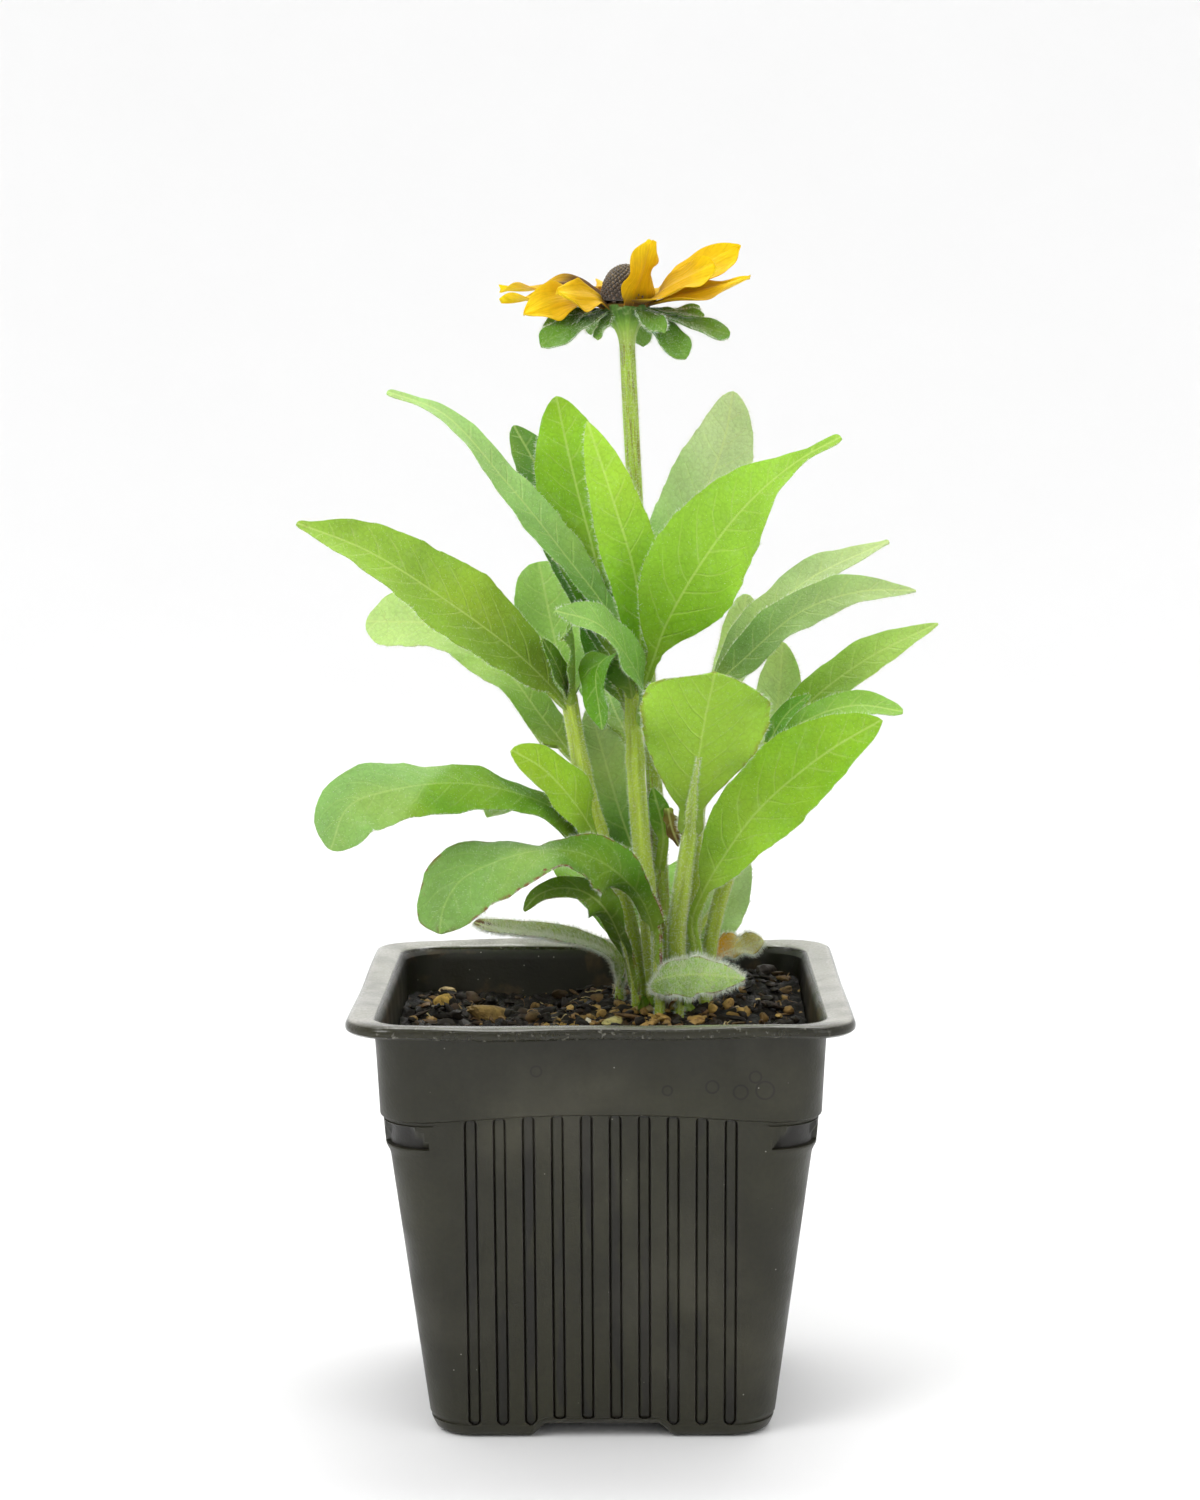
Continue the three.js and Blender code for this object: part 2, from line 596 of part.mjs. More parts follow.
// Points along a petal or bract that leaves the head in the given direction.
function ray(turn, start, steps) {
  const angle = turn * Math.PI / 180;
  return steps.map(([out, up]) => [HEAD_X + (start + out) * Math.cos(angle), HEAD_Y + (start + out) * Math.sin(angle),
    HEAD_Z + up]);
}

const PETALS = [
  // direction, half width, then the run outwards and the height along the petal
  { turn: 12, half: 5, run: [[0, 0.7], [6, 2], [16, 4], [24.6, 7.4]], roll: -0.6, end: 0.25 },
  { turn: 28, half: 5, run: [[0, 1.4], [6, 5], [16, 9.4], [25.3, 14.5]], roll: -0.6, end: 0.25 },
  { turn: -22, half: 6.2, run: [[0, 1.2], [4, 3.6], [10, 7], [17, 11]], roll: -0.7, end: 0.2 },
  { turn: -52, half: 4.6, run: [[0, 0.8], [1.8, 4.6], [3.2, 10], [2.2, 15.4]], roll: 0.1, end: 0.4 },
  { turn: -151, half: 3.2, run: [[0, 0.7], [3, 1.4], [7, 2.4], [11, 4.1]], roll: 0.5 },
  { turn: -170, half: 5.8, run: [[0, 1.2], [6, 3.8], [12, 3], [17.8, -1]], roll: 0.6, end: 0.3 },
  { turn: 172, half: 4.4, run: [[0, 0.7], [7, 2.4], [16, 2.2], [24.5, 1.9]], roll: 0.3 },
  { turn: 152, half: 4.6, run: [[0, 1.3], [5, 5.2], [12, 6.4], [20, 5.6], [28.6, 5.2]], roll: 0.2 },
  { turn: 122, half: 5, run: [[0, 0.7], [5, 2.6], [11, 4], [19, 4.4]], roll: 0.1 },
  { turn: 96, half: 5.2, run: [[0, 1.3], [7, 4.4], [15, 6], [22, 5.4]], roll: -0.1 },
  { turn: 72, half: 5.2, run: [[0, 0.7], [7, 2.2], [15, 3.6], [23, 4.6]], roll: 0.1 },
  { turn: 50, half: 4.8, run: [[0, 1.3], [7, 3.8], [16, 6.6], [24, 9.6]], roll: 0.1 },
];

const BRACTS = [
  { turn: -157, half: 4, run: [[0, -1.6], [8, -3.8], [17.4, -8.4]], roll: 0.9, end: 0.3 },
  { turn: -174, half: 3.2, run: [[0, -1.2], [8, -1.8], [15.6, -5]], roll: 0.9 },
  { turn: -140, half: 2, run: [[0, -1.6], [2.6, -4], [5.2, -6.9]], roll: 0 },
  { turn: -48, half: 2.6, run: [[0, -1.4], [5, -3], [9.6, -5.5]], roll: -0.6 },
  { turn: -24, half: 3.8, run: [[0, -1.8], [6, -5.6], [11.8, -11.2]], roll: -0.9, end: 0.4 },
  { turn: -3, half: 3.6, run: [[0, -1.2], [9, -3], [20.4, -6.3]], roll: -0.8 },
  { turn: 14, half: 2.6, run: [[0, -1], [8, -1.2], [15.2, -1.7]], roll: -0.6 },
  { turn: 36, half: 2.6, run: [[0, -1.2], [8, -0.8], [17.9, 0.3]], roll: -0.3 },
  { turn: 68, half: 2.6, run: [[0, -1.4], [5, -4], [8, -8.4]], roll: 0 },
  { turn: 96, half: 2.8, run: [[0, -1.2], [7, -2], [13, -4]], roll: 0 },
  { turn: 122, half: 2.6, run: [[0, -1.4], [6, -2.8], [12, -5.4]], roll: 0.2 },
  { turn: 148, half: 2.8, run: [[0, -1.2], [7, -2], [13, -4.4]], roll: 0.3 },
  { turn: 168, half: 2.5, run: [[0, -1.6], [6, -3.2], [12, -6.6]], roll: 0.4 },
];

// The way a petal or bract looks: up, and rolled about its own length.
function rolledFace(turn, roll, inward) {
  const angle = turn * Math.PI / 180;
  const out = [Math.cos(angle), Math.sin(angle)];
  return [-out[0] * inward - out[1] * roll, -out[1] * inward + out[0] * roll, 1];
}

const PETAL_COLUMNS = [-1, -0.5, 0, 0.5, 1];

function petal({ turn, half, run, roll, end }) {
  const face = [rolledFace(turn, 0, 0.9), rolledFace(turn, roll, 0.9)];
  const form = { mid: ray(turn, PETAL_START, run), half, face, petiole: 0, stalkWidth: 1.1, tip: 0.5, widest: 0.66,
    tooth: 0.02, rows: 5, end };
  const rise = (c, t, width) => width * 0.1 * c * c + PETAL_PLEAT * Math.cos(c * Math.PI * 2) * Math.min(1, t * 3);
  return blade(form, PETAL_COLUMNS, rise, () => PETAL_EDGE);
}

function bract({ turn, half, run, roll, end }) {
  const face = [rolledFace(turn, 0, 0), rolledFace(turn, roll, 0)];
  return leaf({ mid: ray(turn, BRACT_START, run), half, face, petiole: 0, tip: 0.5, widest: 0.6, rows: 3, wave: 0,
    plain: true, end });
}

// A closed turned body: the outline gives radius and height and starts and ends on the axis.
function turned(outline, sides) {
  const rings = outline.map(([radius, z]) => {
    const ring = [];
    for (let k = 0; k < sides; k++) {
      const angle = k / sides * Math.PI * 2;
      ring.push(vec(HEAD_X + radius * Math.cos(angle), HEAD_Y + radius * Math.sin(angle), HEAD_Z + z));
    }
    return ring;
  });
  return loft(rings);
}

const FLOWER_LINE = [[15, 17, FOOT_Z], [15, 17, SHOULDER_Z], [14, 16, 113], [12.5, 15.5, 140], [10.5, 14, 173],
  [7.9, 11, 213], [6.2, 8, 248]];

function makeFlowerStem() {
  const stalk = stem(FLOWER_LINE, FLOWER_STEM_RADIUS * 1.05, FLOWER_STEM_RADIUS, 8);
  const cup = turned([[FLOWER_STEM_RADIUS, -7], [2.4, -5], [4.2, -2.6], [CUP_RADIUS, -0.9], [CUP_RADIUS - 0.3, 0]], 14);
  const peg = turned([[PEG_RADIUS, -2], [PEG_RADIUS, 3.2], [PEG_RADIUS - 0.5, 3.8]], 10);
  const leaves = [
    { mid: [[10, 14, 175], [16.4, 22, 191], [24, 30, 207], [29.6, 36, 221.5], [31.8, 40, 233]], half: 9.6,
      face: [[0, -1, 0.2], [0, -1, 0.2]], tip: 0.62, widest: 0.5, petiole: 0.05 },
    { mid: [[13.5, 15, 120], [14.5, 11, 130], [12, 9, 141]], half: 2.7, face: [[0, -1, 0.2], [0, -1, 0.2]], rows: 5,
      petiole: 0.4, plain: true },
    { mid: [[11, 15, 146], [10, 28, 153], [8, 46, 156], [5, 61, 151]], half: 7.4,
      face: [[0, -0.3, 1], [0, 0.3, 1]] },
  ];
  return Manifold.union([stalk, cup, peg, ...BRACTS.map(bract), ...leaves.map((form) => leaf(form))]);
}

function makePetals() {
  const ring = turned([[RING_RADIUS - 0.3, GAP], [RING_RADIUS, GAP + 0.6], [RING_RADIUS - 0.4, GAP + RING_THICK]], 16);
  const hole = turned([[PEG_RADIUS + GAP, -3], [PEG_RADIUS + GAP, 40]], 10);
  return Manifold.union([ring, ...PETALS.map(petal)]).subtract(hole);
}

// The dark cone of disc florets: a dome whose surface is set with rows of small points.
function makeCone() {
  const SIDES = 26;
  const ROWS = 9;
  const base = 2 * GAP + RING_THICK;
  const rings = [];
  for (let r = 0; r <= ROWS; r++) {
    const share = r / ROWS;
    const angle = share * Math.PI / 2 * 0.96;
    const ring = [];
    for (let k = 0; k < SIDES; k++) {
      const turn = k / SIDES * Math.PI * 2;
      const bump = (r + k) % 2 && r > 0 ? 0.35 : -0.05;
      const radius = (CONE_RADIUS - 0.4) * Math.cos(angle * 0.98) + (r === 0 ? -0.4 : 0) + bump * Math.cos(angle);
      const z = base + (CONE_HEIGHT - base) * Math.pow(Math.sin(angle), 0.85) + bump * Math.sin(angle);
      ring.push(vec(HEAD_X + radius * Math.cos(turn), HEAD_Y + radius * Math.sin(turn), HEAD_Z + z));
    }
    rings.push(ring);
  }
  const socket = turned([[PEG_RADIUS + GAP, -1], [PEG_RADIUS + GAP, 4.2]], 10);
  return loft(rings).subtract(socket);
}

// Soil with a low mound round the crown, crumbs, bark and small stones, and a plain hole for every foot

function soilHeight(x, y) {
  const away = Math.hypot(x - CROWN_X, y - CROWN_Y);
  const mound = MOUND_HEIGHT * Math.exp(-Math.pow(away / MOUND_REACH, 2));
  const hollow = -4 * Math.exp(-(Math.pow(x + 18, 2) + Math.pow(y - 34, 2)) / 260);
  const lumps = 0.5 * Math.sin(x * 0.42 + 1) * Math.cos(y * 0.37) + 0.35 * Math.sin(x * 0.9 + y * 0.7);
  return SOIL_Z + mound + hollow + lumps;
}

function makeSoil(feet) {
  const reach = BAND_TOP_HALF;
  const upper = [];
  const lower = [];
  const faces = [];
  const line = SOIL_CELLS + 1;
  for (let j = 0; j < line; j++) {
    for (let i = 0; i < line; i++) {
      const x = (i / SOIL_CELLS * 2 - 1) * reach;
      const y = (j / SOIL_CELLS * 2 - 1) * reach;
      upper.push(vec(x, y, soilHeight(x, y)));
      lower.push(vec(x, y, 0));
    }
  }
  const under = line * line;
  for (let j = 0; j < SOIL_CELLS; j++) {
    for (let i = 0; i < SOIL_CELLS; i++) {
      const a = j * line + i;
      const cell = [[a, a + 1, a + line], [a + 1, a + line + 1, a + line]];
      cell.forEach(([p, q, r]) => faces.push([p, q, r], [p + under, r + under, q + under]));
    }
    const left = j * line;
    const right = left + SOIL_CELLS;
    const back = SOIL_CELLS * line + j;
    const sides = [[left, left + line], [right + line, right], [j + 1, j], [back, back + 1]];
    sides.forEach(([a, b]) => faces.push([a, b, a + under], [b, b + under, a + under]));
  }
  const ground = solid([...upper, ...lower], faces);

  const grow = WALL + GAP;
  const room = loft([
    squareRing(WALL_FOOT_HALF - grow - 1.6, CORNER_RADIUS - 3, FLOOR + GAP),
    squareRing(WALL_FOOT_HALF - grow - 0.2, CORNER_RADIUS - 2, WALL_FOOT_Z + 0.5),
    squareRing(WALL_TOP_HALF - grow, CORNER_RADIUS - 1.5, BAND_BOTTOM_Z - 0.9),
    squareRing(BAND_BOTTOM_HALF - grow, CORNER_RADIUS - 1.5, BAND_BOTTOM_Z + 0.8),
    squareRing(BAND_TOP_HALF - grow, CORNER_RADIUS - 1.5, POT_HEIGHT - 2),
  ]).subtract(fourWays(bay(WALL + GAP)));

  const random = seeded(41);
  const crumb = (x, y, size, flat, seed) => {
    const shape = new THREE.IcosahedronGeometry(1, 0);
    shape.deleteAttribute('normal');
    shape.deleteAttribute('uv');
    const joined = mergeVertices(shape, 1e-4);
    const position = joined.getAttribute('position');
    const wobble = seeded(seed);
    const points = [];
    for (let i = 0; i < position.count; i++) {
      const push = size * (0.82 + 0.36 * wobble());
      points.push(vec(position.getX(i) * push * 1.25, position.getY(i) * push, position.getZ(i) * push * flat));
    }
    const index = Array.from(joined.getIndex().array);
    const triangles = [];
    for (let i = 0; i < index.length; i += 3) {
      triangles.push(index.slice(i, i + 3));
    }
    return solid(points, triangles).rotate([0, 0, random() * 180])
      .translate([x, y, soilHeight(x, y) - size * flat * 0.1]);
  };
  const crumbs = [
    crumb(-37, 22, 1.7, 0.9, 3),
    crumb(-28, 12, 3.4, 0.55, 5),
    crumb(-24.5, 11, 2.4, 0.6, 7),
    crumb(3, 8, 2.2, 0.6, 9),
    crumb(10, -4, 2.4, 0.5, 11),
  ];
  for (let i = 0; i < CRUMB_COUNT; i++) {
    const x = (random() * 2 - 1) * 42;
    const y = (random() * 2 - 1) * 42;
    const clear = feet.every(({ at, radius }) => Math.hypot(x - at[0], y - at[1]) > radius + 3.5);
    if (clear) {
      crumbs.push(crumb(x, y, 0.9 + 1.3 * random() * random(), 0.7, 20 + i));
    }
  }
  const holes = feet.map(({ at, radius }) => {
    const bottom = FOOT_Z - GAP;
    return Manifold.cylinder(SHOULDER_Z - bottom, radius + WELL_GAP, radius + WELL_GAP, STEM_SIDES)
      .translate([at[0], at[1], bottom]);
  });
  return ground.intersect(room).add(Manifold.union(crumbs).intersect(room)).subtract(Manifold.union(holes));
}

// The list of feet that the soil has holes for
const STEMS = [LEFT_STEM, MIDDLE_STEM, FRONT_STEM, RIGHT_STEM, OUTER_STEM,
  { line: FLOWER_LINE, foot: FLOWER_STEM_RADIUS * 1.05 }];

const feet = [
  ...STEMS.map(({ line, foot }) => ({ at: line[0], radius: foot })),
  ...[...Object.values(BASAL_LEAVES), DEAD_LEAF].map(({ foot }) => ({ at: foot, radius: BASAL_FOOT_RADIUS })),
];

const COLOURS = {
  pot: [0x403f37, 0.42],
  soil: [0x33261b, 0.95],
  stem: [0xa9bb58, 0.6],
  leaf: [0x7fae3a, 0.62],
  pale: [0x9dbb6a, 0.66],
  dead: [0x9a7a3c, 0.8],
  petal: [0xf2c81d, 0.5],
  cone: [0x3f3022, 0.8],
};

const group = new THREE.Group();
group.name = 'potted_toto_rudbeckia';

function add(name, body, [colour, roughness]) {
  const raw = body.getMesh();
  const geometry = new THREE.BufferGeometry();
  geometry.setAttribute('position', new THREE.BufferAttribute(new Float32Array(raw.vertProperties), 3));
  geometry.setIndex(new THREE.BufferAttribute(new Uint32Array(raw.triVerts), 1));
  geometry.computeVertexNormals();
  const mesh = new THREE.Mesh(geometry, new THREE.MeshStandardMaterial({ color: colour, roughness, metalness: 0 }));
  mesh.name = name;
  group.add(mesh);
}

add('pot', makePot(), COLOURS.pot);
add('soil', makeSoil(feet), COLOURS.soil);
add('left_shoot', shoot([LEFT_STEM], LEFT_LEAVES), COLOURS.leaf);
add('middle_shoot', shoot([MIDDLE_STEM], MIDDLE_LEAVES), COLOURS.leaf);
add('front_shoot', shoot([FRONT_STEM], FRONT_LEAVES), COLOURS.leaf);
add('right_shoot', shoot([RIGHT_STEM], RIGHT_LEAVES), COLOURS.leaf);
add('outer_right_shoot', shoot([OUTER_STEM], OUTER_LEAVES), COLOURS.leaf);
for (const [name, form] of Object.entries(BASAL_LEAVES)) {
  add(name, basalLeaf(form), COLOURS.pale);
}
add('dead_leaf', basalLeaf(DEAD_LEAF), COLOURS.dead);
add('flower_stem', makeFlowerStem(), COLOURS.stem);
add('petals', makePetals(), COLOURS.petal);
add('cone', makeCone(), COLOURS.cone);

export default group;
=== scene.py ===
"""A potted dwarf rudbeckia with one open flower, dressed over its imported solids.

Lengths in the tables are millimetres in the frame of the solids, and the finished meshes are in metres.
"""

import math

import bmesh
import bpy
import numpy as np
from mathutils import Matrix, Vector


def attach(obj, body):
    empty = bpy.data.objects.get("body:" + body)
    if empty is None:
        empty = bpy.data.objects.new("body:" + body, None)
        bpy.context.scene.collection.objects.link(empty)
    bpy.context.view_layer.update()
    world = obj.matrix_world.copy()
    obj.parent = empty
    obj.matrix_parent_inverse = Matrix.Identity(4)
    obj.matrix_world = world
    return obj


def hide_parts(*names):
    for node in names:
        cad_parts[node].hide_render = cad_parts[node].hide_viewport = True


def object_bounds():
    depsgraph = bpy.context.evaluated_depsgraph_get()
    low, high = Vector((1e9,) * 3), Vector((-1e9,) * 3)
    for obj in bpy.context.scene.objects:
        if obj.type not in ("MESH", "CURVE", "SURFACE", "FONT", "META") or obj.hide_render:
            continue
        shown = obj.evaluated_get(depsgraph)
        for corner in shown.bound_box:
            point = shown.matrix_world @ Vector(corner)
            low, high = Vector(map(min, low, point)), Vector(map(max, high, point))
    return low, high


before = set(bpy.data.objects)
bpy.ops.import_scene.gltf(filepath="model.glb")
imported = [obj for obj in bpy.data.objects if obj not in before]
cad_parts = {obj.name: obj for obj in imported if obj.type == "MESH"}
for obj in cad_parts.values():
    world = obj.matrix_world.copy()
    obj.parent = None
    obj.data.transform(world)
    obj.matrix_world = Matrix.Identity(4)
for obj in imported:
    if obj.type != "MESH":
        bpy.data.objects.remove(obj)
CAD_LOW, CAD_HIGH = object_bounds()
MM = 0.001
BOX_LOW, BOX_HIGH = np.array(CAD_LOW) / MM + 0.002, np.array(CAD_HIGH) / MM - 0.002


# Colours and numbers

def paint(red, green, blue):
    """A display colour from 0 to 255 as linear light."""
    c = np.array([red, green, blue]) / 255
    return np.where(c <= 0.04045, c / 12.92, ((c + 0.055) / 1.055) ** 2.4)


def smooth(low, high, x):
    s = np.clip((x - low) / (high - low), 0, 1)
    return s * s * (3 - 2 * s)


def circle(sides):
    """Angles of equal steps round a full turn."""
    return np.linspace(0, 2 * math.pi, sides, endpoint=False)


def unit(v):
    return v / np.maximum(np.linalg.norm(v, axis=-1, keepdims=True), 1e-12)


class Field:
    """Smooth random relief over x and y, from -1 to 1, the same on every run."""

    CELLS = 64

    def __init__(self, seed, pitch):
        self.pitch = pitch
        self.table = np.random.default_rng(seed).uniform(-1, 1, (self.CELLS, self.CELLS))

    def __call__(self, x, y):
        u, v = np.asarray(x) / self.pitch + 17.3, np.asarray(y) / self.pitch + 5.1
        i, j = np.floor(u).astype(int), np.floor(v).astype(int)
        s, t = smooth(0, 1, u - i), smooth(0, 1, v - j)
        i0, j0, i1, j1 = i % self.CELLS, j % self.CELLS, (i + 1) % self.CELLS, (j + 1) % self.CELLS
        low = self.table[i0, j0] * (1 - s) + self.table[i1, j0] * s
        high = self.table[i0, j1] * (1 - s) + self.table[i1, j1] * s
        return low * (1 - t) + high * t


# Meshes

def grid_faces(rows, columns, wrap=False):
    """Four-sided faces between neighbouring rows of points, closed round each row if wrap is set."""
    a = np.arange(rows - 1)[:, None] * columns
    c = np.arange(columns if wrap else columns - 1)[None]
    n = (c + 1) % columns
    return np.stack([a + c, a + n, a + columns + n, a + columns + c], -1).reshape(-1, 4)


def form(points, faces, look=0, **values):
    """One closed form: points, face arrays, the number of its material and its values at each point."""
    points = np.asarray(points, float)
    volume = 0
    for f in faces:
        for k in range(1, f.shape[1] - 1):
            a, b, c = points[f[:, 0]], points[f[:, k]], points[f[:, k + 1]]
            volume += np.einsum("ij,ij->i", a, np.cross(b, c)).sum()
    if volume < 0:
        faces = [f[:, ::-1] for f in faces]
    return {"points": points, "faces": faces, "look": look, "values": values}


def tube(rings, look=0, **values):
    """Rings of points joined into one closed form with a point in the middle of each end."""
    rows, sides = rings.shape[:2]
    ends = [rings[0].mean(0), rings[-1].mean(0)]
    points = np.vstack([rings.reshape(-1, 3), ends])
    k = np.arange(sides)
    n = (k + 1) % sides
    first = np.stack([n, k, np.full(sides, rows * sides)], -1)
    last = np.stack([k, n, np.full(sides, rows * sides + 1)], -1)
    last[:, :2] += (rows - 1) * sides
    full = {}
    for key, value in values.items():
        value = np.asarray(value, float)
        value = value.reshape((rows * sides,) + value.shape[2:])
        full[key] = np.concatenate([value, value[:1], value[-1:]])
    return form(points, [grid_faces(rows, sides, True), np.vstack([first, last])], look, **full)


def make_piece(name, forms, materials, nodes=(), sharp=40.0):
    """One piece of the object from its forms. It stands for the given nodes and rides on the whole."""
    starts = np.cumsum([0] + [len(f["points"]) for f in forms[:-1]])
    points = np.clip(np.concatenate([f["points"] for f in forms]), BOX_LOW, BOX_HIGH)
    corners, sizes, looks = [], [], []
    for f, start in zip(forms, starts):
        for faces in f["faces"]:
            corners.append((faces + start).ravel())
            sizes.append(np.full(len(faces), faces.shape[1]))
            looks.append(np.full(len(faces), f["look"]))
    corners, sizes, looks = (np.concatenate(x).astype(np.int32) for x in (corners, sizes, looks))
    mesh = bpy.data.meshes.new(name)
    mesh.vertices.add(len(points))
    mesh.vertices.foreach_set("co", (points * MM).astype(np.float32).ravel())
    mesh.loops.add(len(corners))
    mesh.loops.foreach_set("vertex_index", corners)
    mesh.polygons.add(len(sizes))
    mesh.polygons.foreach_set("loop_start", np.concatenate([[0], np.cumsum(sizes)[:-1]]).astype(np.int32))
    mesh.polygons.foreach_set("material_index", looks)
    mesh.update(calc_edges=True)
    for key in sorted({k for f in forms for k in f["values"]}):
        width = (3,) if key == "tone" else ()
        parts = [np.broadcast_to(f["values"].get(key, 0.0), (len(f["points"]), *width)) for f in forms]
        joined = np.concatenate(parts).astype(np.float32)
        if width:
            joined = np.column_stack([joined, np.ones(len(joined), np.float32)])
            mesh.attributes.new(key, "FLOAT_COLOR", "POINT").data.foreach_set("color", joined.ravel())
        else:
            mesh.attributes.new(key, "FLOAT", "POINT").data.foreach_set("value", joined)
    mesh.shade_smooth()
    mesh.set_sharp_from_angle(angle=math.radians(sharp))
    piece = bpy.data.objects.new(name, mesh)
    bpy.context.scene.collection.objects.link(piece)
    for m in materials:
        mesh.materials.append(m)
    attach(piece, "root")
    if nodes:
        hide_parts(*nodes)
    return piece


def needles(roots, tips, radius):
    """Fine closed hairs from each root to its tip."""
    axis = unit(tips - roots)
    first = unit(np.cross(axis, [0.31, 0.52, 0.79]))
    second = np.cross(axis, first)
    radius = np.broadcast_to(radius, len(roots))[:, None]
    points = [roots + radius * (first * math.cos(a) + second * math.sin(a)) for a in (0, 2.094, 4.189)]
    points = np.stack(points + [tips], 1).reshape(-1, 3)
    pattern = np.array([[0, 1, 3], [1, 2, 3], [2, 0, 3], [2, 1, 0]])
    faces = (np.arange(len(roots))[:, None, None] * 4 + pattern).reshape(-1, 3)
    return form(points, [faces])


def inside_box(points):
    """True for points that lie within the box of the solids."""
    return np.all((points > BOX_LOW) & (points < BOX_HIGH), axis=-1)


# Materials

class Finish:
    """Builds one material's nodes."""

    def __init__(self, name, **fixed):
        self.data = bpy.data.materials.new(name)
        self.data.use_nodes = True
        self.tree = self.data.node_tree
        self.shader = self.tree.nodes["Principled BSDF"]
        for key, value in fixed.items():
            self.shader.inputs[key.replace("_", " ").title().replace("Ior", "IOR")].default_value = value
        self.place = self.add("ShaderNodeTexCoord").outputs["Object"]
        self.base = None

    def add(self, kind, inputs=(), **settings):
        node = self.tree.nodes.new(kind)
        for key, value in settings.items():
            setattr(node, key, value)
        for key, value in dict(inputs).items():
            self.feed(node.inputs[key], value)
        return node

    def feed(self, socket, value):
        if isinstance(value, bpy.types.NodeSocket):
            self.tree.links.new(value, socket)
        elif np.ndim(value) and len(value) == 3 and len(socket.default_value) == 4:
            socket.default_value = (*value, 1)
        else:
            socket.default_value = value

    def value(self, name):
        return self.add("ShaderNodeAttribute", attribute_name=name).outputs["Fac"]

    def tone(self):
        return self.add("ShaderNodeAttribute", attribute_name="tone").outputs["Color"]

    def noise(self, scale, detail=3, vector=None, distortion=0):
        inputs = {"Vector": vector or self.place, "Scale": scale, "Detail": detail,
                  "Distortion": distortion}
        return self.add("ShaderNodeTexNoise", inputs).outputs[0]

    def cells(self, scale, feature="F1", output="Distance"):
        inputs = {"Vector": self.place, "Scale": scale}
        return self.add("ShaderNodeTexVoronoi", inputs, feature=feature).outputs[output]

    def range(self, value, low, high, start=0.0, end=1.0):
        inputs = {"Value": value, "From Min": low, "From Max": high, "To Min": start, "To Max": end}
        return self.add("ShaderNodeMapRange", inputs, interpolation_type="SMOOTHSTEP").outputs[0]

    def speckle(self, scale, detail, start, end):
        """A fine noise stretched over the given range."""
        return self.range(self.noise(scale, detail), 0.3, 0.7, start, end)

    def math(self, operation, a, b=0.0, c=0.0):
        return self.add("ShaderNodeMath", {0: a, 1: b, 2: c}, operation=operation).outputs[0]

    def times(self, a, b):
        return self.math("MULTIPLY", a, b)

    def plus(self, a, b):
        return self.math("ADD", a, b)

    def scaled(self, a, factor, more):
        """a times factor, plus more."""
        return self.math("MULTIPLY_ADD", a, factor, more)

    def away_from(self, x, y, z):
        """The distance in metres from a place on the object."""
        return self.add("ShaderNodeVectorMath", {0: self.place, 1: (x, y, z)},
                        operation="DISTANCE").outputs[1]

    def mix(self, share, a, b, blend="MIX"):
        inputs = {0: share, 6: a, 7: b}
        return self.add("ShaderNodeMix", inputs, data_type="RGBA", blend_type=blend).outputs[2]

    def vector(self, x, y, z):
        return self.add("ShaderNodeCombineXYZ", {0: x, 1: y, 2: z}).outputs[0]

    def stretched(self, x, y, z):
        inputs = {"Vector": self.place, "Scale": (x, y, z)}
        return self.add("ShaderNodeMapping", inputs).outputs[0]

    def brighten(self, colour, share):
        """The colour times a grey that varies over the surface."""
        grey = self.vector(share, share, share)
        return self.mix(1.0, colour, grey, "MULTIPLY")

    def coat(self, share, red, green, blue):
        """Lays a colour over the running one, as far as share goes."""
        self.base = self.mix(share, self.base, paint(red, green, blue))

    def shade(self, grey):
        self.base = self.brighten(self.base, grey)

    def done(self, rough=None, relief=None, depth=0.0002, strength=1.0):
        self.feed(self.shader.inputs["Base Color"], self.base)
        if rough is not None:
            self.feed(self.shader.inputs["Roughness"], rough)
        if relief is not None:
            bump = self.add("ShaderNodeBump", {"Height": relief, "Distance": depth, "Strength": strength})
            self.feed(self.shader.inputs["Normal"], bump.outputs[0])
        return self.data


VEIN_PITCH = 6.2
VEIN_SLOPE = 0.7
VEIN_CURVE = 0.06


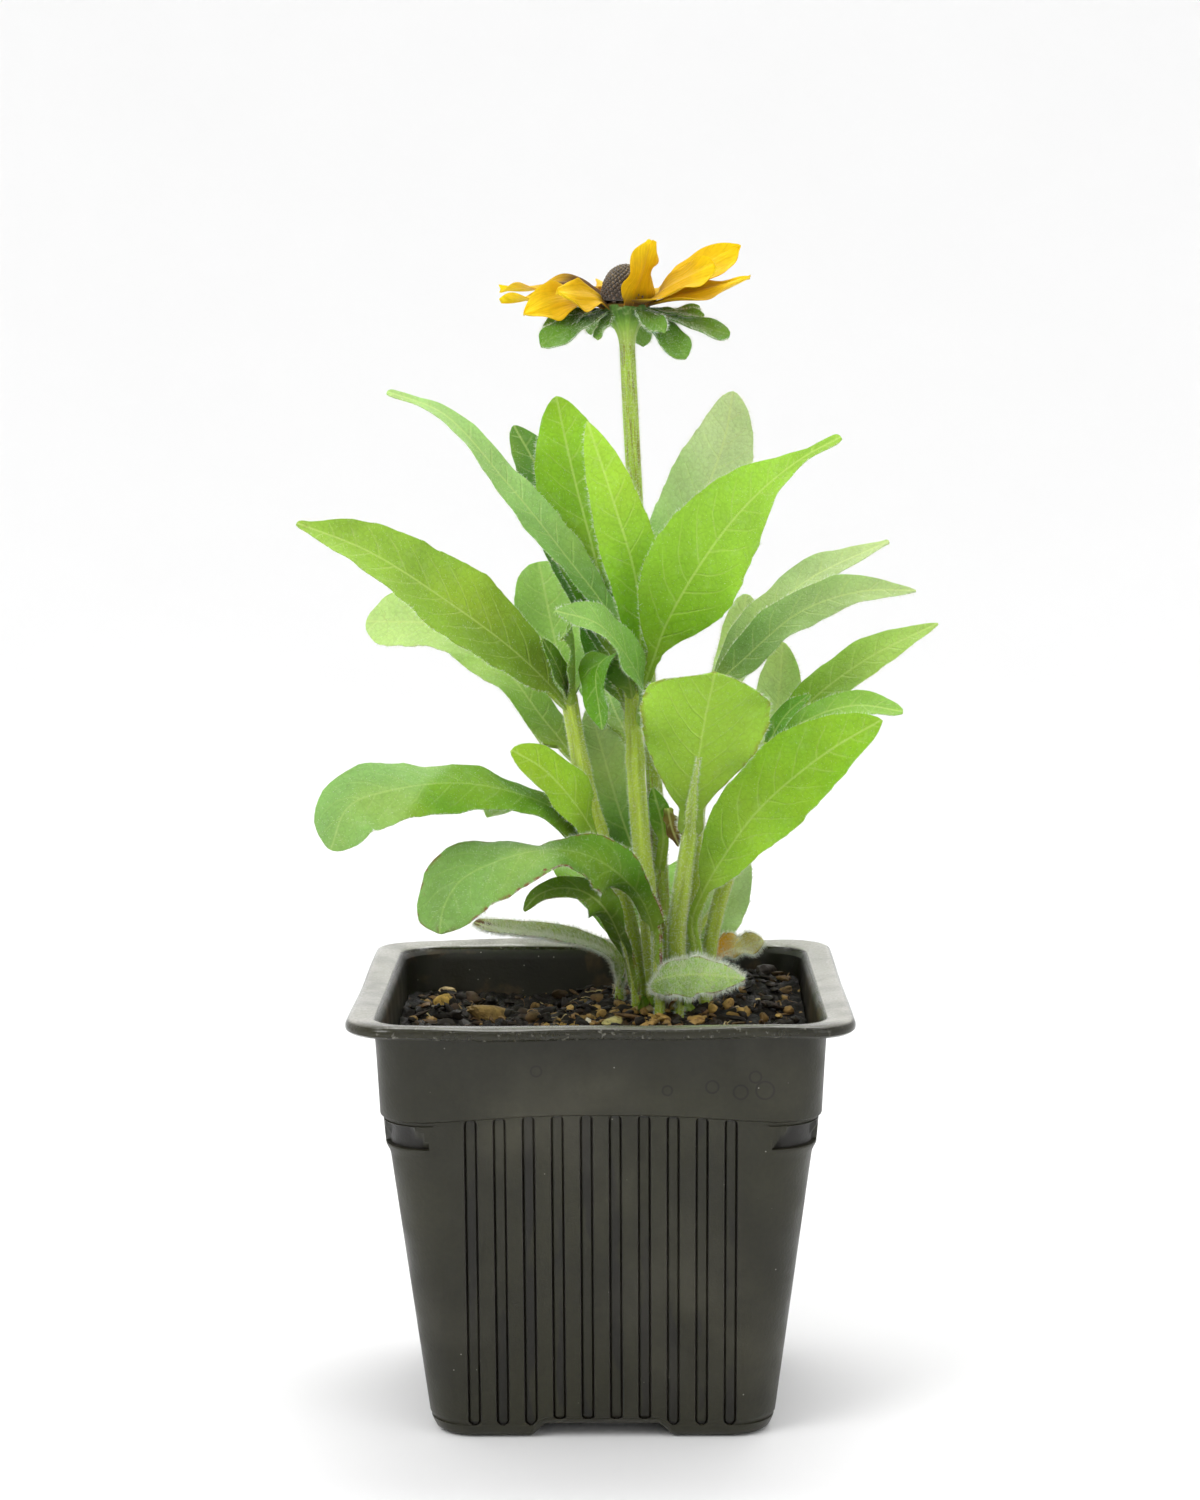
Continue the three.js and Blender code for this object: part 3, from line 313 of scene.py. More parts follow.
def leaf_finish():
    m = Finish("leaf_blade", specular_ior_level=0.22, sheen_weight=0.03, sheen_roughness=0.5,
               subsurface_weight=0.25, subsurface_radius=(0.35, 0.7, 0.12), subsurface_scale=0.0012)
    side, run, under, edge, rust, vein = map(m.value, ("side", "run", "under", "edge", "rust", "vein"))
    away = m.math("ABSOLUTE", side)
    half_turn = m.times(m.math("GREATER_THAN", side, 0.0), 0.45)
    slope = m.scaled(away, VEIN_CURVE, VEIN_SLOPE)
    bent = m.math("SUBTRACT", run, m.times(away, slope))
    wander = m.times(m.noise(60, 2), 0.9)
    phase = m.plus(m.plus(m.math("DIVIDE", bent, VEIN_PITCH), half_turn), wander)
    close = m.math("ABSOLUTE", m.math("SUBTRACT", m.math("FRACT", phase), 0.5))
    fade = m.range(edge, 0.55, 0.95, 1.0, 0.0)
    side_vein = m.times(m.range(close, 0.0, 0.09, 1.0, 0.0), m.times(fade, vein))
    midrib = m.times(m.range(away, 0.1, 0.42, 1.0, 0.0), vein)
    net = m.range(m.cells(620, "DISTANCE_TO_EDGE"), 0.0, 0.09, 1.0, 0.0)

    mottle = m.speckle(70, 2, 0.9, 1.08)
    grain = m.speckle(1500, 3, 0.93, 1.06)
    m.base = m.brighten(m.brighten(m.tone(), mottle), grain)
    yellow = m.range(m.noise(40, 2), 0.45, 0.75, 0.0, 0.16)
    m.coat(yellow, 190, 205, 50)
    m.coat(m.times(under, 0.16), 165, 190, 105)
    pale = m.mix(0.5, m.tone(), paint(214, 228, 140))
    m.shade(m.scaled(net, -0.08, 1.0))
    m.base = m.mix(m.times(side_vein, 0.3), m.base, pale)
    m.base = m.mix(m.times(midrib, 0.55), m.base, pale)
    haze = m.times(m.range(m.noise(420, 4), 0.5, 0.75), 0.05)
    m.coat(haze, 225, 232, 200)

    rim = m.times(m.range(edge, 0.9, 0.99), m.range(m.noise(500, 2), 0.4, 0.6))
    flecks = m.range(m.cells(170), 0.05, 0.12, 1.0, 0.0)
    spots = m.times(flecks, m.range(m.noise(90, 1), 0.56, 0.62))
    worn = m.times(m.math("MAXIMUM", rim, spots), rust)
    m.coat(worn, 115, 70, 40)

    relief = m.scaled(m.noise(900, 4), 0.3, m.times(net, -0.25))
    lift = m.scaled(under, 1.4, -0.7)
    relief = m.plus(relief, m.times(side_vein, lift))
    return m.done(m.speckle(300, 2, 0.48, 0.66), relief, 0.00022, 0.8)


def stem_finish():
    m = Finish("green_stem", specular_ior_level=0.35, sheen_weight=0.15, sheen_roughness=0.5,
               subsurface_weight=0.2, subsurface_radius=(0.4, 0.7, 0.15), subsurface_scale=0.0012)
    side, run = m.value("side"), m.value("run")
    lengthwise = m.vector(m.times(side, 1.0), m.times(run, 0.06), 0.0)
    streak = m.noise(1.6, 4, lengthwise)
    m.base = m.brighten(m.tone(), m.range(streak, 0.3, 0.7, 0.84, 1.14))
    m.coat(m.times(m.range(streak, 0.56, 0.7), 0.25), 120, 140, 40)
    rust = m.value("rust")
    red = m.times(m.range(m.noise(2.2, 3, lengthwise), 0.5, 0.62), rust)
    m.coat(red, 118, 92, 50)
    m.coat(m.range(m.noise(900, 3), 0.5, 0.8, 0.0, 0.25), 215, 222, 160)
    return m.done(m.speckle(500, 2, 0.5, 0.68), streak, 0.0002, 0.6)


def hair_finish():
    colour = paint(235, 238, 220)
    m = Finish("white_hair", roughness=0.5, specular_ior_level=0.4, sheen_weight=0.2, subsurface_weight=0.3,
               subsurface_scale=0.0005)
    m.base = m.mix(m.noise(300, 2), colour, colour * 0.86)
    return m.done()


def petal_finish():
    m = Finish("petal_yellow", specular_ior_level=0.12, sheen_weight=0.04, sheen_roughness=0.4,
               subsurface_weight=0.25, subsurface_radius=(0.7, 0.5, 0.1), subsurface_scale=0.001)
    side, run = m.value("side"), m.value("run")
    lengthwise = m.vector(m.times(side, 1.4), m.times(run, 0.09), m.value("under"))
    streak = m.noise(1.7, 4, lengthwise)
    m.base = m.brighten(m.tone(), m.range(streak, 0.3, 0.7, 0.88, 1.08))
    m.coat(m.range(streak, 0.55, 0.75, 0.0, 0.35), 214, 150, 10)
    m.shade(m.speckle(700, 3, 0.95, 1.05))
    relief = m.scaled(m.noise(1300, 3), 0.2, streak)
    return m.done(m.range(streak, 0.3, 0.7, 0.62, 0.48), relief, 0.0003, 0.8)


def cone_finish():
    m = Finish("cone_brown", specular_ior_level=0.25, sheen_weight=0.4, sheen_roughness=0.6)
    m.base = m.brighten(m.tone(), m.speckle(1400, 3, 0.72, 1.3))
    return m.done(m.speckle(600, 2, 0.65, 0.85), m.noise(2600, 3), 0.0002)


# x, z and size of the round marks on the front of the band
DROP_MARKS = [(24.4, 82.4, 1.4), (30.6, 81.2, 1.6), (33.8, 84.6, 1.3), (35.9, 81.6, 2.0), (14.6, 81.6, 1.1),
              (-14, 86, 1.2)]
DROP_PLANE_Y = -49.5
PEAT_PLACE = (0.008, -0.008, 0.087)


def pot_finish():
    m = Finish("black_nursery_plastic", specular_ior_level=0.38)
    groove, inner, worn, bloom = (m.value(k) for k in ("groove", "inner", "worn", "bloom"))
    m.base = m.mix(m.range(m.noise(45, 4), 0.3, 0.7), paint(37, 36, 20), paint(29, 28, 14))
    m.shade(m.speckle(900, 3, 0.9, 1.1))
    run_down = m.noise(140, 4, m.stretched(1.0, 1.0, 0.22))
    floor = m.times(m.range(groove, 0.05, 0.2), m.range(groove, 0.3, 0.5, 1.0, 0.0))
    dried = m.times(m.range(run_down, 0.5, 0.55), floor)
    m.coat(m.times(dried, 0.75), 17, 15, 10)
    # Painted shade: the creases along the groove edges and the corner pockets are darkened.
    m.coat(m.range(groove, 0.3, 0.85, 0.0, 0.9), 13, 10, 7)
    m.coat(m.times(inner, 0.5), 24, 22, 18)

    # Faint round marks where drops of water have dried
    ring = 0.0
    for x, z, size in DROP_MARKS:
        away = m.away_from(x * MM, DROP_PLANE_Y * MM, z * MM)
        line = m.times(m.range(away, (size - 0.45) * MM, size * MM),
                      m.range(away, size * MM, (size + 0.35) * MM, 1.0, 0.0))
        ring = m.math("MAXIMUM", ring, line)
    m.coat(m.times(ring, 0.8), 12, 10, 6)

    # Specks of dust and grit, more of them on the inside, where compost also clings to the walls
    smear = m.times(m.range(m.noise(110, 6), 0.52, 0.6), m.times(inner, 0.65))
    m.base = m.mix(smear, m.base, m.mix(m.noise(900, 3), paint(22, 17, 10), paint(84, 66, 40)))
    speck = m.range(m.cells(520), 0.05, 0.11, 1.0, 0.0)
    sparse = m.range(m.scaled(inner, 0.1, m.noise(200, 2)), 0.63, 0.66)
    m.coat(m.times(m.times(speck, sparse), 0.7), 150, 148, 138)
    film = m.times(m.range(m.noise(26, 5), 0.5, 0.75), 0.12)
    m.coat(film, 120, 116, 100)
    scuff = m.times(m.range(m.noise(800, 4), 0.6, 0.72), worn)
    m.coat(m.times(scuff, 0.4), 140, 138, 128)
    # Pale dust on the lip's top, together with painted reflection of the lamps: brighter on the sides and
    # back than along the front.
    dust_and_reflection_share = m.times(m.range(m.noise(90, 5), 0.3, 0.6, 0.55, 0.85), bloom)
    m.base = m.mix(dust_and_reflection_share, m.base, m.mix(m.noise(1800, 2), paint(205, 203, 194), paint(146, 144, 134)))
    rough = m.plus(m.speckle(120, 4, 0.34, 0.5), m.times(ring, 0.12))
    rough = m.times(rough, m.scaled(worn, -0.75, 1.0))
    relief = m.scaled(m.noise(60, 3), 1.5, m.noise(1400, 2))
    return m.done(rough, relief, 0.00012, 0.5)


def soil_finish():
    m = Finish("dark_compost", specular_ior_level=0.3)
    clod = m.noise(260, 6, distortion=0.4)
    m.base = m.mix(m.range(clod, 0.35, 0.65), paint(10, 8, 5), paint(27, 21, 13))
    away = m.away_from(*PEAT_PLACE)
    peat = m.times(m.range(away, 0.006, 0.026, 0.7, 0.0), m.range(m.noise(180, 3), 0.4, 0.6))
    m.coat(peat, 84, 66, 36)
    fibre = m.noise(500, 3, m.stretched(1.0, 0.16, 0.6), 1.5)
    m.coat(m.range(fibre, 0.64, 0.72, 0.0, 0.5), 128, 98, 60)
    grit = m.range(m.cells(420), 0.1, 0.22, 1.0, 0.0)
    pick = m.range(m.cells(420, output="Color"), 0.72, 0.8)
    m.coat(m.times(grit, pick), 150, 122, 78)
    relief = m.scaled(clod, 1.0, m.noise(1300, 4))
    return m.done(m.range(m.noise(150, 2), 0.35, 0.6, 0.36, 0.9), relief, 0.0006)


def grain_finish():
    """Crumbs, stones, wood and roots, coloured by their own tone."""
    m = Finish("soil_grains", specular_ior_level=0.3)
    coarse = m.noise(480, 5)
    m.base = m.brighten(m.tone(), m.range(coarse, 0.3, 0.7, 0.62, 1.3))
    m.coat(m.range(m.noise(1100, 3), 0.56, 0.66, 0.0, 0.5), 44, 36, 20)
    return m.done(m.speckle(200, 2, 0.5, 0.95), coarse, 0.0004)


LEAF = leaf_finish()
STEM = stem_finish()
HAIR = hair_finish()
PETAL = petal_finish()
CONE = cone_finish()
POT = pot_finish()
SOIL = soil_finish()
GRAIN = grain_finish()


# Curves and blades of the plant

class Line:
    """A smooth curve through knots, followed by its share of length from 0 to 1."""

    def __init__(self, knots):
        knots = np.array(knots, float)
        ends = np.vstack([2 * knots[0] - knots[1], knots, 2 * knots[-1] - knots[-2]])
        spans = []
        for i in range(len(knots) - 1):
            p0, p1, p2, p3 = ends[i:i + 4]
            d0, d1, d2 = (math.sqrt(np.linalg.norm(b - a)) for a, b in ((p0, p1), (p1, p2), (p2, p3)))
            m1 = ((p1 - p0) / d0 - (p2 - p0) / (d0 + d1) + (p2 - p1) / d1) * d1
            m2 = ((p2 - p1) / d1 - (p3 - p1) / (d1 + d2) + (p3 - p2) / d2) * d1
            s = np.linspace(0, 1, 50, endpoint=i == len(knots) - 2)[:, None]
            cubic = (3 * (p2 - p1) - 2 * m1 - m2) * s ** 2 + (2 * (p1 - p2) + m1 + m2) * s ** 3
            spans.append(p1 + m1 * s + cubic)
        self.points = np.vstack(spans)
        steps = np.linalg.norm(np.diff(self.points, axis=0), axis=1)
        self.length = steps.sum()
        self.share = np.concatenate([[0], np.cumsum(steps)]) / self.length

    def at(self, t):
        return np.stack([np.interp(t, self.share, self.points[:, k]) for k in range(3)], -1)

    def along(self, t):
        return unit(self.at(np.minimum(t + 0.012, 1)) - self.at(np.maximum(t - 0.012, 0)))


PETIOLE_HALF = 1.3
STALK_DEPTH = 1.9
TEETH_PITCH = 5.5
LEAF_DEPTH = np.array([0.84, 0.88, 0.5])
BURNT, PETIOLE_TONE = paint(92, 62, 34), paint(150, 178, 62)
LEAF_HAIR_RADIUS, STALK_HAIR_RADIUS = 0.036, 0.035
BARE_FOOT = 0.2
NEVER = 2.0
ACROSS = np.array([0.06, 0.16, 0.3, 0.48, 0.66, 0.82, 0.94, 1])
ACROSS = np.concatenate([-ACROSS[::-1], [0], ACROSS])


class Blade:
    """A leaf, bract or petal: a thin closed form laid along a curve."""

    def __init__(self, shape, seed):
        self.shape = shape
        self.line = Line(shape["mid"])
        self.length = self.line.length
        self.random = np.random.default_rng(seed)
        self.phases = self.random.uniform(0, 2 * math.pi, 8)
        self.start, self.end = shape.get("petiole", 0.1), shape.get("end", 0.04)
        self.burn = shape.get("burn", NEVER)
        self.blunt = 1 - 0.9 * max(shape.get("round", self.end), 0.06) * shape["half"] / self.length

    def foot_share(self, t):
        """The petiole starts narrow, inside the stem it grows from."""
        return 0.6 + 0.4 * smooth(0, 0.07, t) if self.start > 0 else 1.0

    def half(self, t):
        s, start = self.shape, self.start
        stalk = PETIOLE_HALF * s.get("stalk_width", 1) * self.foot_share(t)
        share = np.clip((t - start) / (1 - start), 1e-6, 1 - 1e-6)
        tip, widest = s.get("tip", 0.8), s.get("widest", 0.45)
        rise = tip * widest / (1 - widest)
        peak = widest ** rise * (1 - widest) ** tip
        egg = share ** rise * (1 - share) ** tip / peak
        least = np.full_like(share, self.end * s["half"])
        wide = np.maximum.reduce([s["half"] * egg, stalk * (1 - share), least])
        wide = np.where(t <= start, stalk, wide)
        beyond = np.clip((t - self.blunt) / (1 - self.blunt), 0, 1)
        return wide * np.sqrt(np.maximum(1 - beyond ** 2, 0.004))

    def teeth(self, c, t):
        """Shallow uneven teeth that point towards the tip."""
        saw = (t * self.length / TEETH_PITCH + np.where(c > 0, 0.4, 0.0)) % 1
        depth = self.shape.get("teeth", 0.034) * smooth(0.18, 0.4, t)
        slow = 0.02 * np.sin(9 * t + self.phases[0] + c) + 0.015 * np.sin(23 * t + self.phases[1] - c)
        return 1 + depth * (saw ** 2 - 0.5) + slow * smooth(0.15, 0.3, t)

    def rise(self, c, t, half, lower):
        s, size = self.shape, np.abs(c)
        swing = s.get("turns", 2.5) * 2 * math.pi * t + np.where(c > 0, 0.8, 2.6)
        wave = s.get("wave", 0.1) * c * c * np.sin(swing)
        lift = half * (s.get("fold", 0.22) * size ** 1.4 + wave)
        open_blade = smooth(self.start, self.start + 0.15, t)
        away = size * half
        phase = (t * self.length - (VEIN_SLOPE + VEIN_CURVE * away) * away) / VEIN_PITCH
        phase = phase + np.where(c > 0, 0.45, 0.0)
        pleat = 0.16 * np.minimum(1, half / 7) * np.cos(2 * math.pi * phase) * size * (1 - size) * 4
        ripple = 0.3 * np.sin(t * self.length * 0.35 + self.phases[2]) * size + \
            0.2 * np.sin(t * self.length * 0.7 + self.phases[3] + 2 * c) * size ** 2
        channel = -s.get("channel", 0.3) * np.exp(-(c * half / 0.55) ** 2) * (1 - lower) * (1 - 0.6 * t)
        return lift + open_blade * (pleat + ripple * np.minimum(1, half / 6) + channel)

    def thick(self, c, t, half):
        stalky = 1 - smooth(self.start, self.start + 0.12, t)
        edge = 0.42 * (1 - 0.45 * np.abs(c) ** 4)
        rib = 1.15 * (1 - 0.65 * t) * np.exp(-(c * half / 0.75) ** 2)
        stalk = STALK_DEPTH * np.sqrt(1 - 0.75 * c * c) * self.foot_share(t)
        return (edge + rib) * (1 - stalky) + stalk * stalky

    def frame(self, t):
        along = self.line.along(t)
        turns = np.array(self.shape["face"], float)
        at = self.shape.get("face_at", np.linspace(0, 1, len(turns)))
        face = np.stack([np.interp(t, at, turns[:, k]) for k in range(3)], -1)
        face = unit(face - along * np.sum(face * along, -1, keepdims=True))
        return along, face, np.cross(along, face)

    def point(self, c, t, lower):
        c, t, lower = np.broadcast_arrays(*(np.asarray(x, float) for x in (c, t, lower)))
        along, face, across = self.frame(t)
        half = self.half(t)
        wide = half * self.teeth(c, t) * c
        lift = self.rise(c, t, half, lower) + self.thick(c, t, half) * np.where(lower > 0, -0.6, 0.4)
        return self.line.at(t) + across * wide[..., None] + face * lift[..., None]

    def normal(self, c, t, lower):
        du = self.point(np.minimum(c + 0.03, 1), t, lower) - self.point(np.maximum(c - 0.03, -1), t, lower)
        dv = self.point(c, np.minimum(t + 0.01, 1), lower) - self.point(c, np.maximum(t - 0.01, 0), lower)
        n = unit(np.cross(du, dv))
        facing = self.frame(t)[1] * np.where(lower > 0, -1, 1)[..., None]
        return n * np.sign(np.sum(n * facing, -1, keepdims=True))

    def tones(self, c, t):
        base, tip = (paint(*x) for x in self.shape["tones"])
        start, end = self.shape.get("blend", (0.1, 0.9))
        share = smooth(start, end, t + self.shape.get("slant", 0.05) * c)[..., None]
        tone = base * (1 - share) + tip * share
        stalk = 0.6 * (1 - smooth(self.start - 0.04, self.start + 0.15, t)[..., None])
        # Painted shade: each leaf is darkened over the lower half of its length, to 0.72 near the stalk,
        # where it sits in the shade inside the plant.
        tone = tone * LEAF_DEPTH * (0.72 + 0.28 * smooth(0.1, 0.5, t))[..., None]
        burnt = self.burn + 0.05 * np.sin(7 * c + self.phases[4]) + 0.02 * np.sin(19 * c)
        tone = tone + (BURNT - tone) * smooth(burnt - 0.03, burnt + 0.02, t)[..., None]
        return tone * (1 - stalk) + PETIOLE_TONE * stalk

    def rows(self):
        count = int(np.clip(self.length / self.shape.get("row", 1.3), 16, 84))
        body = np.linspace(0, self.blunt, count)
        tip = self.blunt + (1 - self.blunt) * np.sin(np.linspace(0, math.pi / 2, 7)[1:])
        return np.concatenate([body, tip])

    def form(self):
        c = np.concatenate([ACROSS, ACROSS[::-1]])[None]
        lower = np.repeat([0.0, 1.0], len(ACROSS))[None]
        c, t, lower = np.broadcast_arrays(c, self.rows()[:, None], lower)
        rust, vein = (np.full(c.shape, self.shape.get(k, v)) for k, v in (("rust", 0.1), ("vein", 1.0)))
        return tube(self.point(c, t, lower), tone=self.tones(c, t), side=c * self.half(t),
                    run=t * self.length,
                    under=lower, edge=np.abs(c), rust=rust, vein=vein)

    def hairs(self, surface, margin, length, nap=0.5):
        """Hairs on both faces, so many to a square millimetre, and along the margin, so many to a millimetre.

        Nap is the size of the hairs on the faces as a share of those on the margin.
        """
        r = self.random
        t = r.uniform(0.01, 0.995, int(surface * 2 * self.length * self.shape["half"] * 2))
        c = r.uniform(-0.98, 0.98, len(t))
        keep = (r.uniform(0, self.shape["half"], len(t)) < self.half(t)) & (t < self.burn)
        t, c = t[keep], c[keep]
        lower = r.integers(0, 2, len(t)).astype(float)
        out = self.normal(c, t, lower)
        t2 = r.uniform(0.0, 0.995, int(margin * 2 * self.length))
        c2 = np.where(r.uniform(size=len(t2)) < 0.5, -1.0, 1.0)
        rim = self.frame(t2)[2] * c2[:, None] + r.normal(0, 0.45, (len(t2), 3)) + self.frame(t2)[0] * 0.35
        roots = np.vstack([self.point(c, t, lower), self.point(c2 * 0.99, t2, r.integers(0, 2, len(t2)))])
        ways = np.vstack([out + r.normal(0, 0.35, out.shape) + self.frame(t)[0] * 0.4, rim])
        sizes = length * r.uniform(0.5, 1.25, len(roots))
        sizes[:len(t)] *= nap
        tips = roots + unit(ways) * sizes[:, None]
        girth = LEAF_HAIR_RADIUS * np.where(np.arange(len(roots)) < len(t), nap, 1.0)
        keep = inside_box(tips)
        return needles(roots[keep], tips[keep], girth[keep])


class Stalk:
    """A round stem along a curve, ribbed and a little uneven."""

    def __init__(self, knots, foot, top, tones, seed, ribs=5, relief=0.04, rust=0.1, joints=(), taper=1.0):
        self.line = Line(knots)
        self.foot, self.top, self.ribs, self.relief = foot, top, ribs, relief
        self.rust, self.joints, self.taper = rust, joints, taper
        self.colours = [paint(*x) for x in tones]
        self.random = np.random.default_rng(seed)
        self.phase = self.random.uniform(0, 6)
        rows = np.linspace(0, 1, max(int(self.line.length / 1.3), 8))
        side, sides = np.array([1.0, 0, 0]), []
        for along in self.line.along(rows):
            side = unit(side - along * (side @ along))
            sides.append(side)
        self.rows, self.sides = rows, np.array(sides)

    def radius(self, angle, t):
        size = self.foot + (self.top - self.foot) * t
        if self.taper < 1:
            size = size * (1 - 0.75 * smooth(self.taper, 1, t))
        for joint in self.joints:
            size = size * (1 + 0.14 * np.exp(-((t - joint) * self.line.length / 2.2) ** 2))
        uneven = 0.03 * np.sin(t * 19 + self.phase)
        return size * (1 + self.relief * np.cos(self.ribs * angle + self.phase) + uneven)

    def point(self, angle, t, grow=0.0):
        side = unit(np.stack([np.interp(t, self.rows, self.sides[:, k]) for k in range(3)], -1))
        other = np.cross(self.line.along(t), side)
        way = side * np.cos(angle)[..., None] + other * np.sin(angle)[..., None]
        return self.line.at(t) + way * (self.radius(angle, t) + grow)[..., None], way

    def form(self, sides=24):
        angle, t = np.broadcast_arrays(circle(sides)[None], self.rows[:, None])
        share = smooth(0, 1, t)[..., None]
        tone = self.colours[0] * (1 - share) + self.colours[1] * share
        tone = tone * LEAF_DEPTH * (1 + 0.1 * np.cos(self.ribs * angle + self.phase)[..., None])
        return tube(self.point(angle, t)[0], 1, tone=tone, side=angle * self.foot, run=t * self.line.length,
                    rust=np.full(t.shape, self.rust))

    def hairs(self, density, length):
        count = int(density * 2 * math.pi * self.foot * self.line.length)
        angle = self.random.uniform(0, 2 * math.pi, count)
        t = self.random.uniform(BARE_FOOT, 1, count)
        roots, way = self.point(angle, t, -0.03)
        way = unit(way + self.random.normal(0, 0.3, way.shape))
        tips = roots + way * (length * self.random.uniform(0.5, 1.2, count))[:, None]
        keep = inside_box(tips)
        return needles(roots[keep], tips[keep], STALK_HAIR_RADIUS)


# The plant's measures, close to those of the solids

FOOT_Z = 80
SHOULDER_Z = 93
STEM_TONES = [(160, 180, 66), (186, 206, 92)]
UPRIGHT, RISING, ARCHING = [(0, -1, 0.2)] * 2, [(0, -1, 0.4), (0, -1, 0.2)], [(0, -0.3, 1), (0, 0.5, 0.9)]

LEFT_STEM = dict(knots=[[9, 14, FOOT_Z], [9, 14, SHOULDER_Z], [5.2, 11, 112], [0, 8, 128], [-4, 6, 143],
                        [-7.5, 5, 163]], foot=2.3, top=1.9, tones=STEM_TONES, joints=(0.55, 0.62, 0.8))
LEFT_LEAVES = [
    # the long leaf that points out to the upper left
    dict(mid=[[-7, 5, 159], [-18.5, -2, 172.6], [-36, -10, 186.8], [-52, -16, 197.6], [-67.5, -20, 204.2]],
         half=11.2, face=[(0.5, -0.7, 0.6), (0.3, -0.7, 0.7)], tip=0.9, widest=0.42, end=0.14, round=0.3,
         wave=0.05, tones=[(134, 170, 56), (150, 186, 80)]),
    # the blunt leaf behind it
    dict(mid=[[-6, 7, 147], [-14.5, 18, 157], [-24, 27, 168], [-38, 34, 176.8], [-57, 39, 178]], half=8.2,
         face=[(0.3, -0.7, 0.7), (0.3, -0.9, 0.5)], tip=0.3, widest=0.7, end=0.6,
         tones=[(150, 195, 90), (190, 216, 165)]),
    # a short round leaf at the back of the stem's top
    dict(mid=[[-6.5, 6, 159], [-11, 26, 174], [-15, 34, 192.5]], half=8.2, face=RISING, tip=0.42,
         widest=0.62, tones=[(120, 170, 80), (165, 204, 130)]),
    # the small bright leaf low on the left of the stem
    dict(mid=[[0, 7.5, 126.5], [-6, 0, 138], [-13.5, -4, 147], [-20.5, -6, 151.5]], half=6.4,
         face=[(0.6, -0.7, 0.5), (0.5, -0.8, 0.5)], tip=0.5, tones=[(150, 192, 62), (158, 200, 62)]),
    # the big leaf that arches over to the left and hangs down at its end. Its tones turn from a dark green,
    # painted shade on its rising part, to a pale green, painted light on its hanging end
    dict(mid=[[-1, 8, 128], [-12.5, -2, 138.2], [-30, -12, 144.4], [-46, -18, 144], [-56.5, -21, 140.5],
              [-60.5, -23, 131]], half=9.3,
         face=[(0.3, -0.6, 0.8), (0.1, -0.5, 0.85), (-0.5, -0.75, 0.4), (-0.6, -0.75, 0.3)],
         face_at=[0, 0.55, 0.8, 1], tip=0.26, widest=0.74, end=0.6, fold=-0.1, vein=0.5, blend=(0.6, 0.66),
         slant=0.1, tones=[(104, 156, 34), (138, 180, 122)]),
    # young leaves at the tip of the stem
    dict(mid=[[-7, 5, 161], [-10, -1, 170], [-13.5, -3, 177]], half=3.6,
         face=[(0.7, -0.5, 0.4), (0.7, -0.5, 0.4)], tones=[(118, 152, 48), (104, 146, 50)]),
    dict(mid=[[-7, 4, 161], [-6.5, -1, 171], [-7, -6, 179], [-9, -9, 177]], half=3.6,
         face=[(-0.7, -0.1, 0.5), (-0.7, -0.4, 0.5)], tones=[(130, 160, 60), (122, 165, 70)]),
    # a leaf at the back, below the others
    dict(mid=[[4.5, 10, 117], [-5, 24, 128], [-17, 42, 134], [-29, 57, 128]], half=8.2, face=ARCHING,
         tip=0.7, widest=0.55, tones=[(125, 175, 62), (140, 188, 92)]),
]

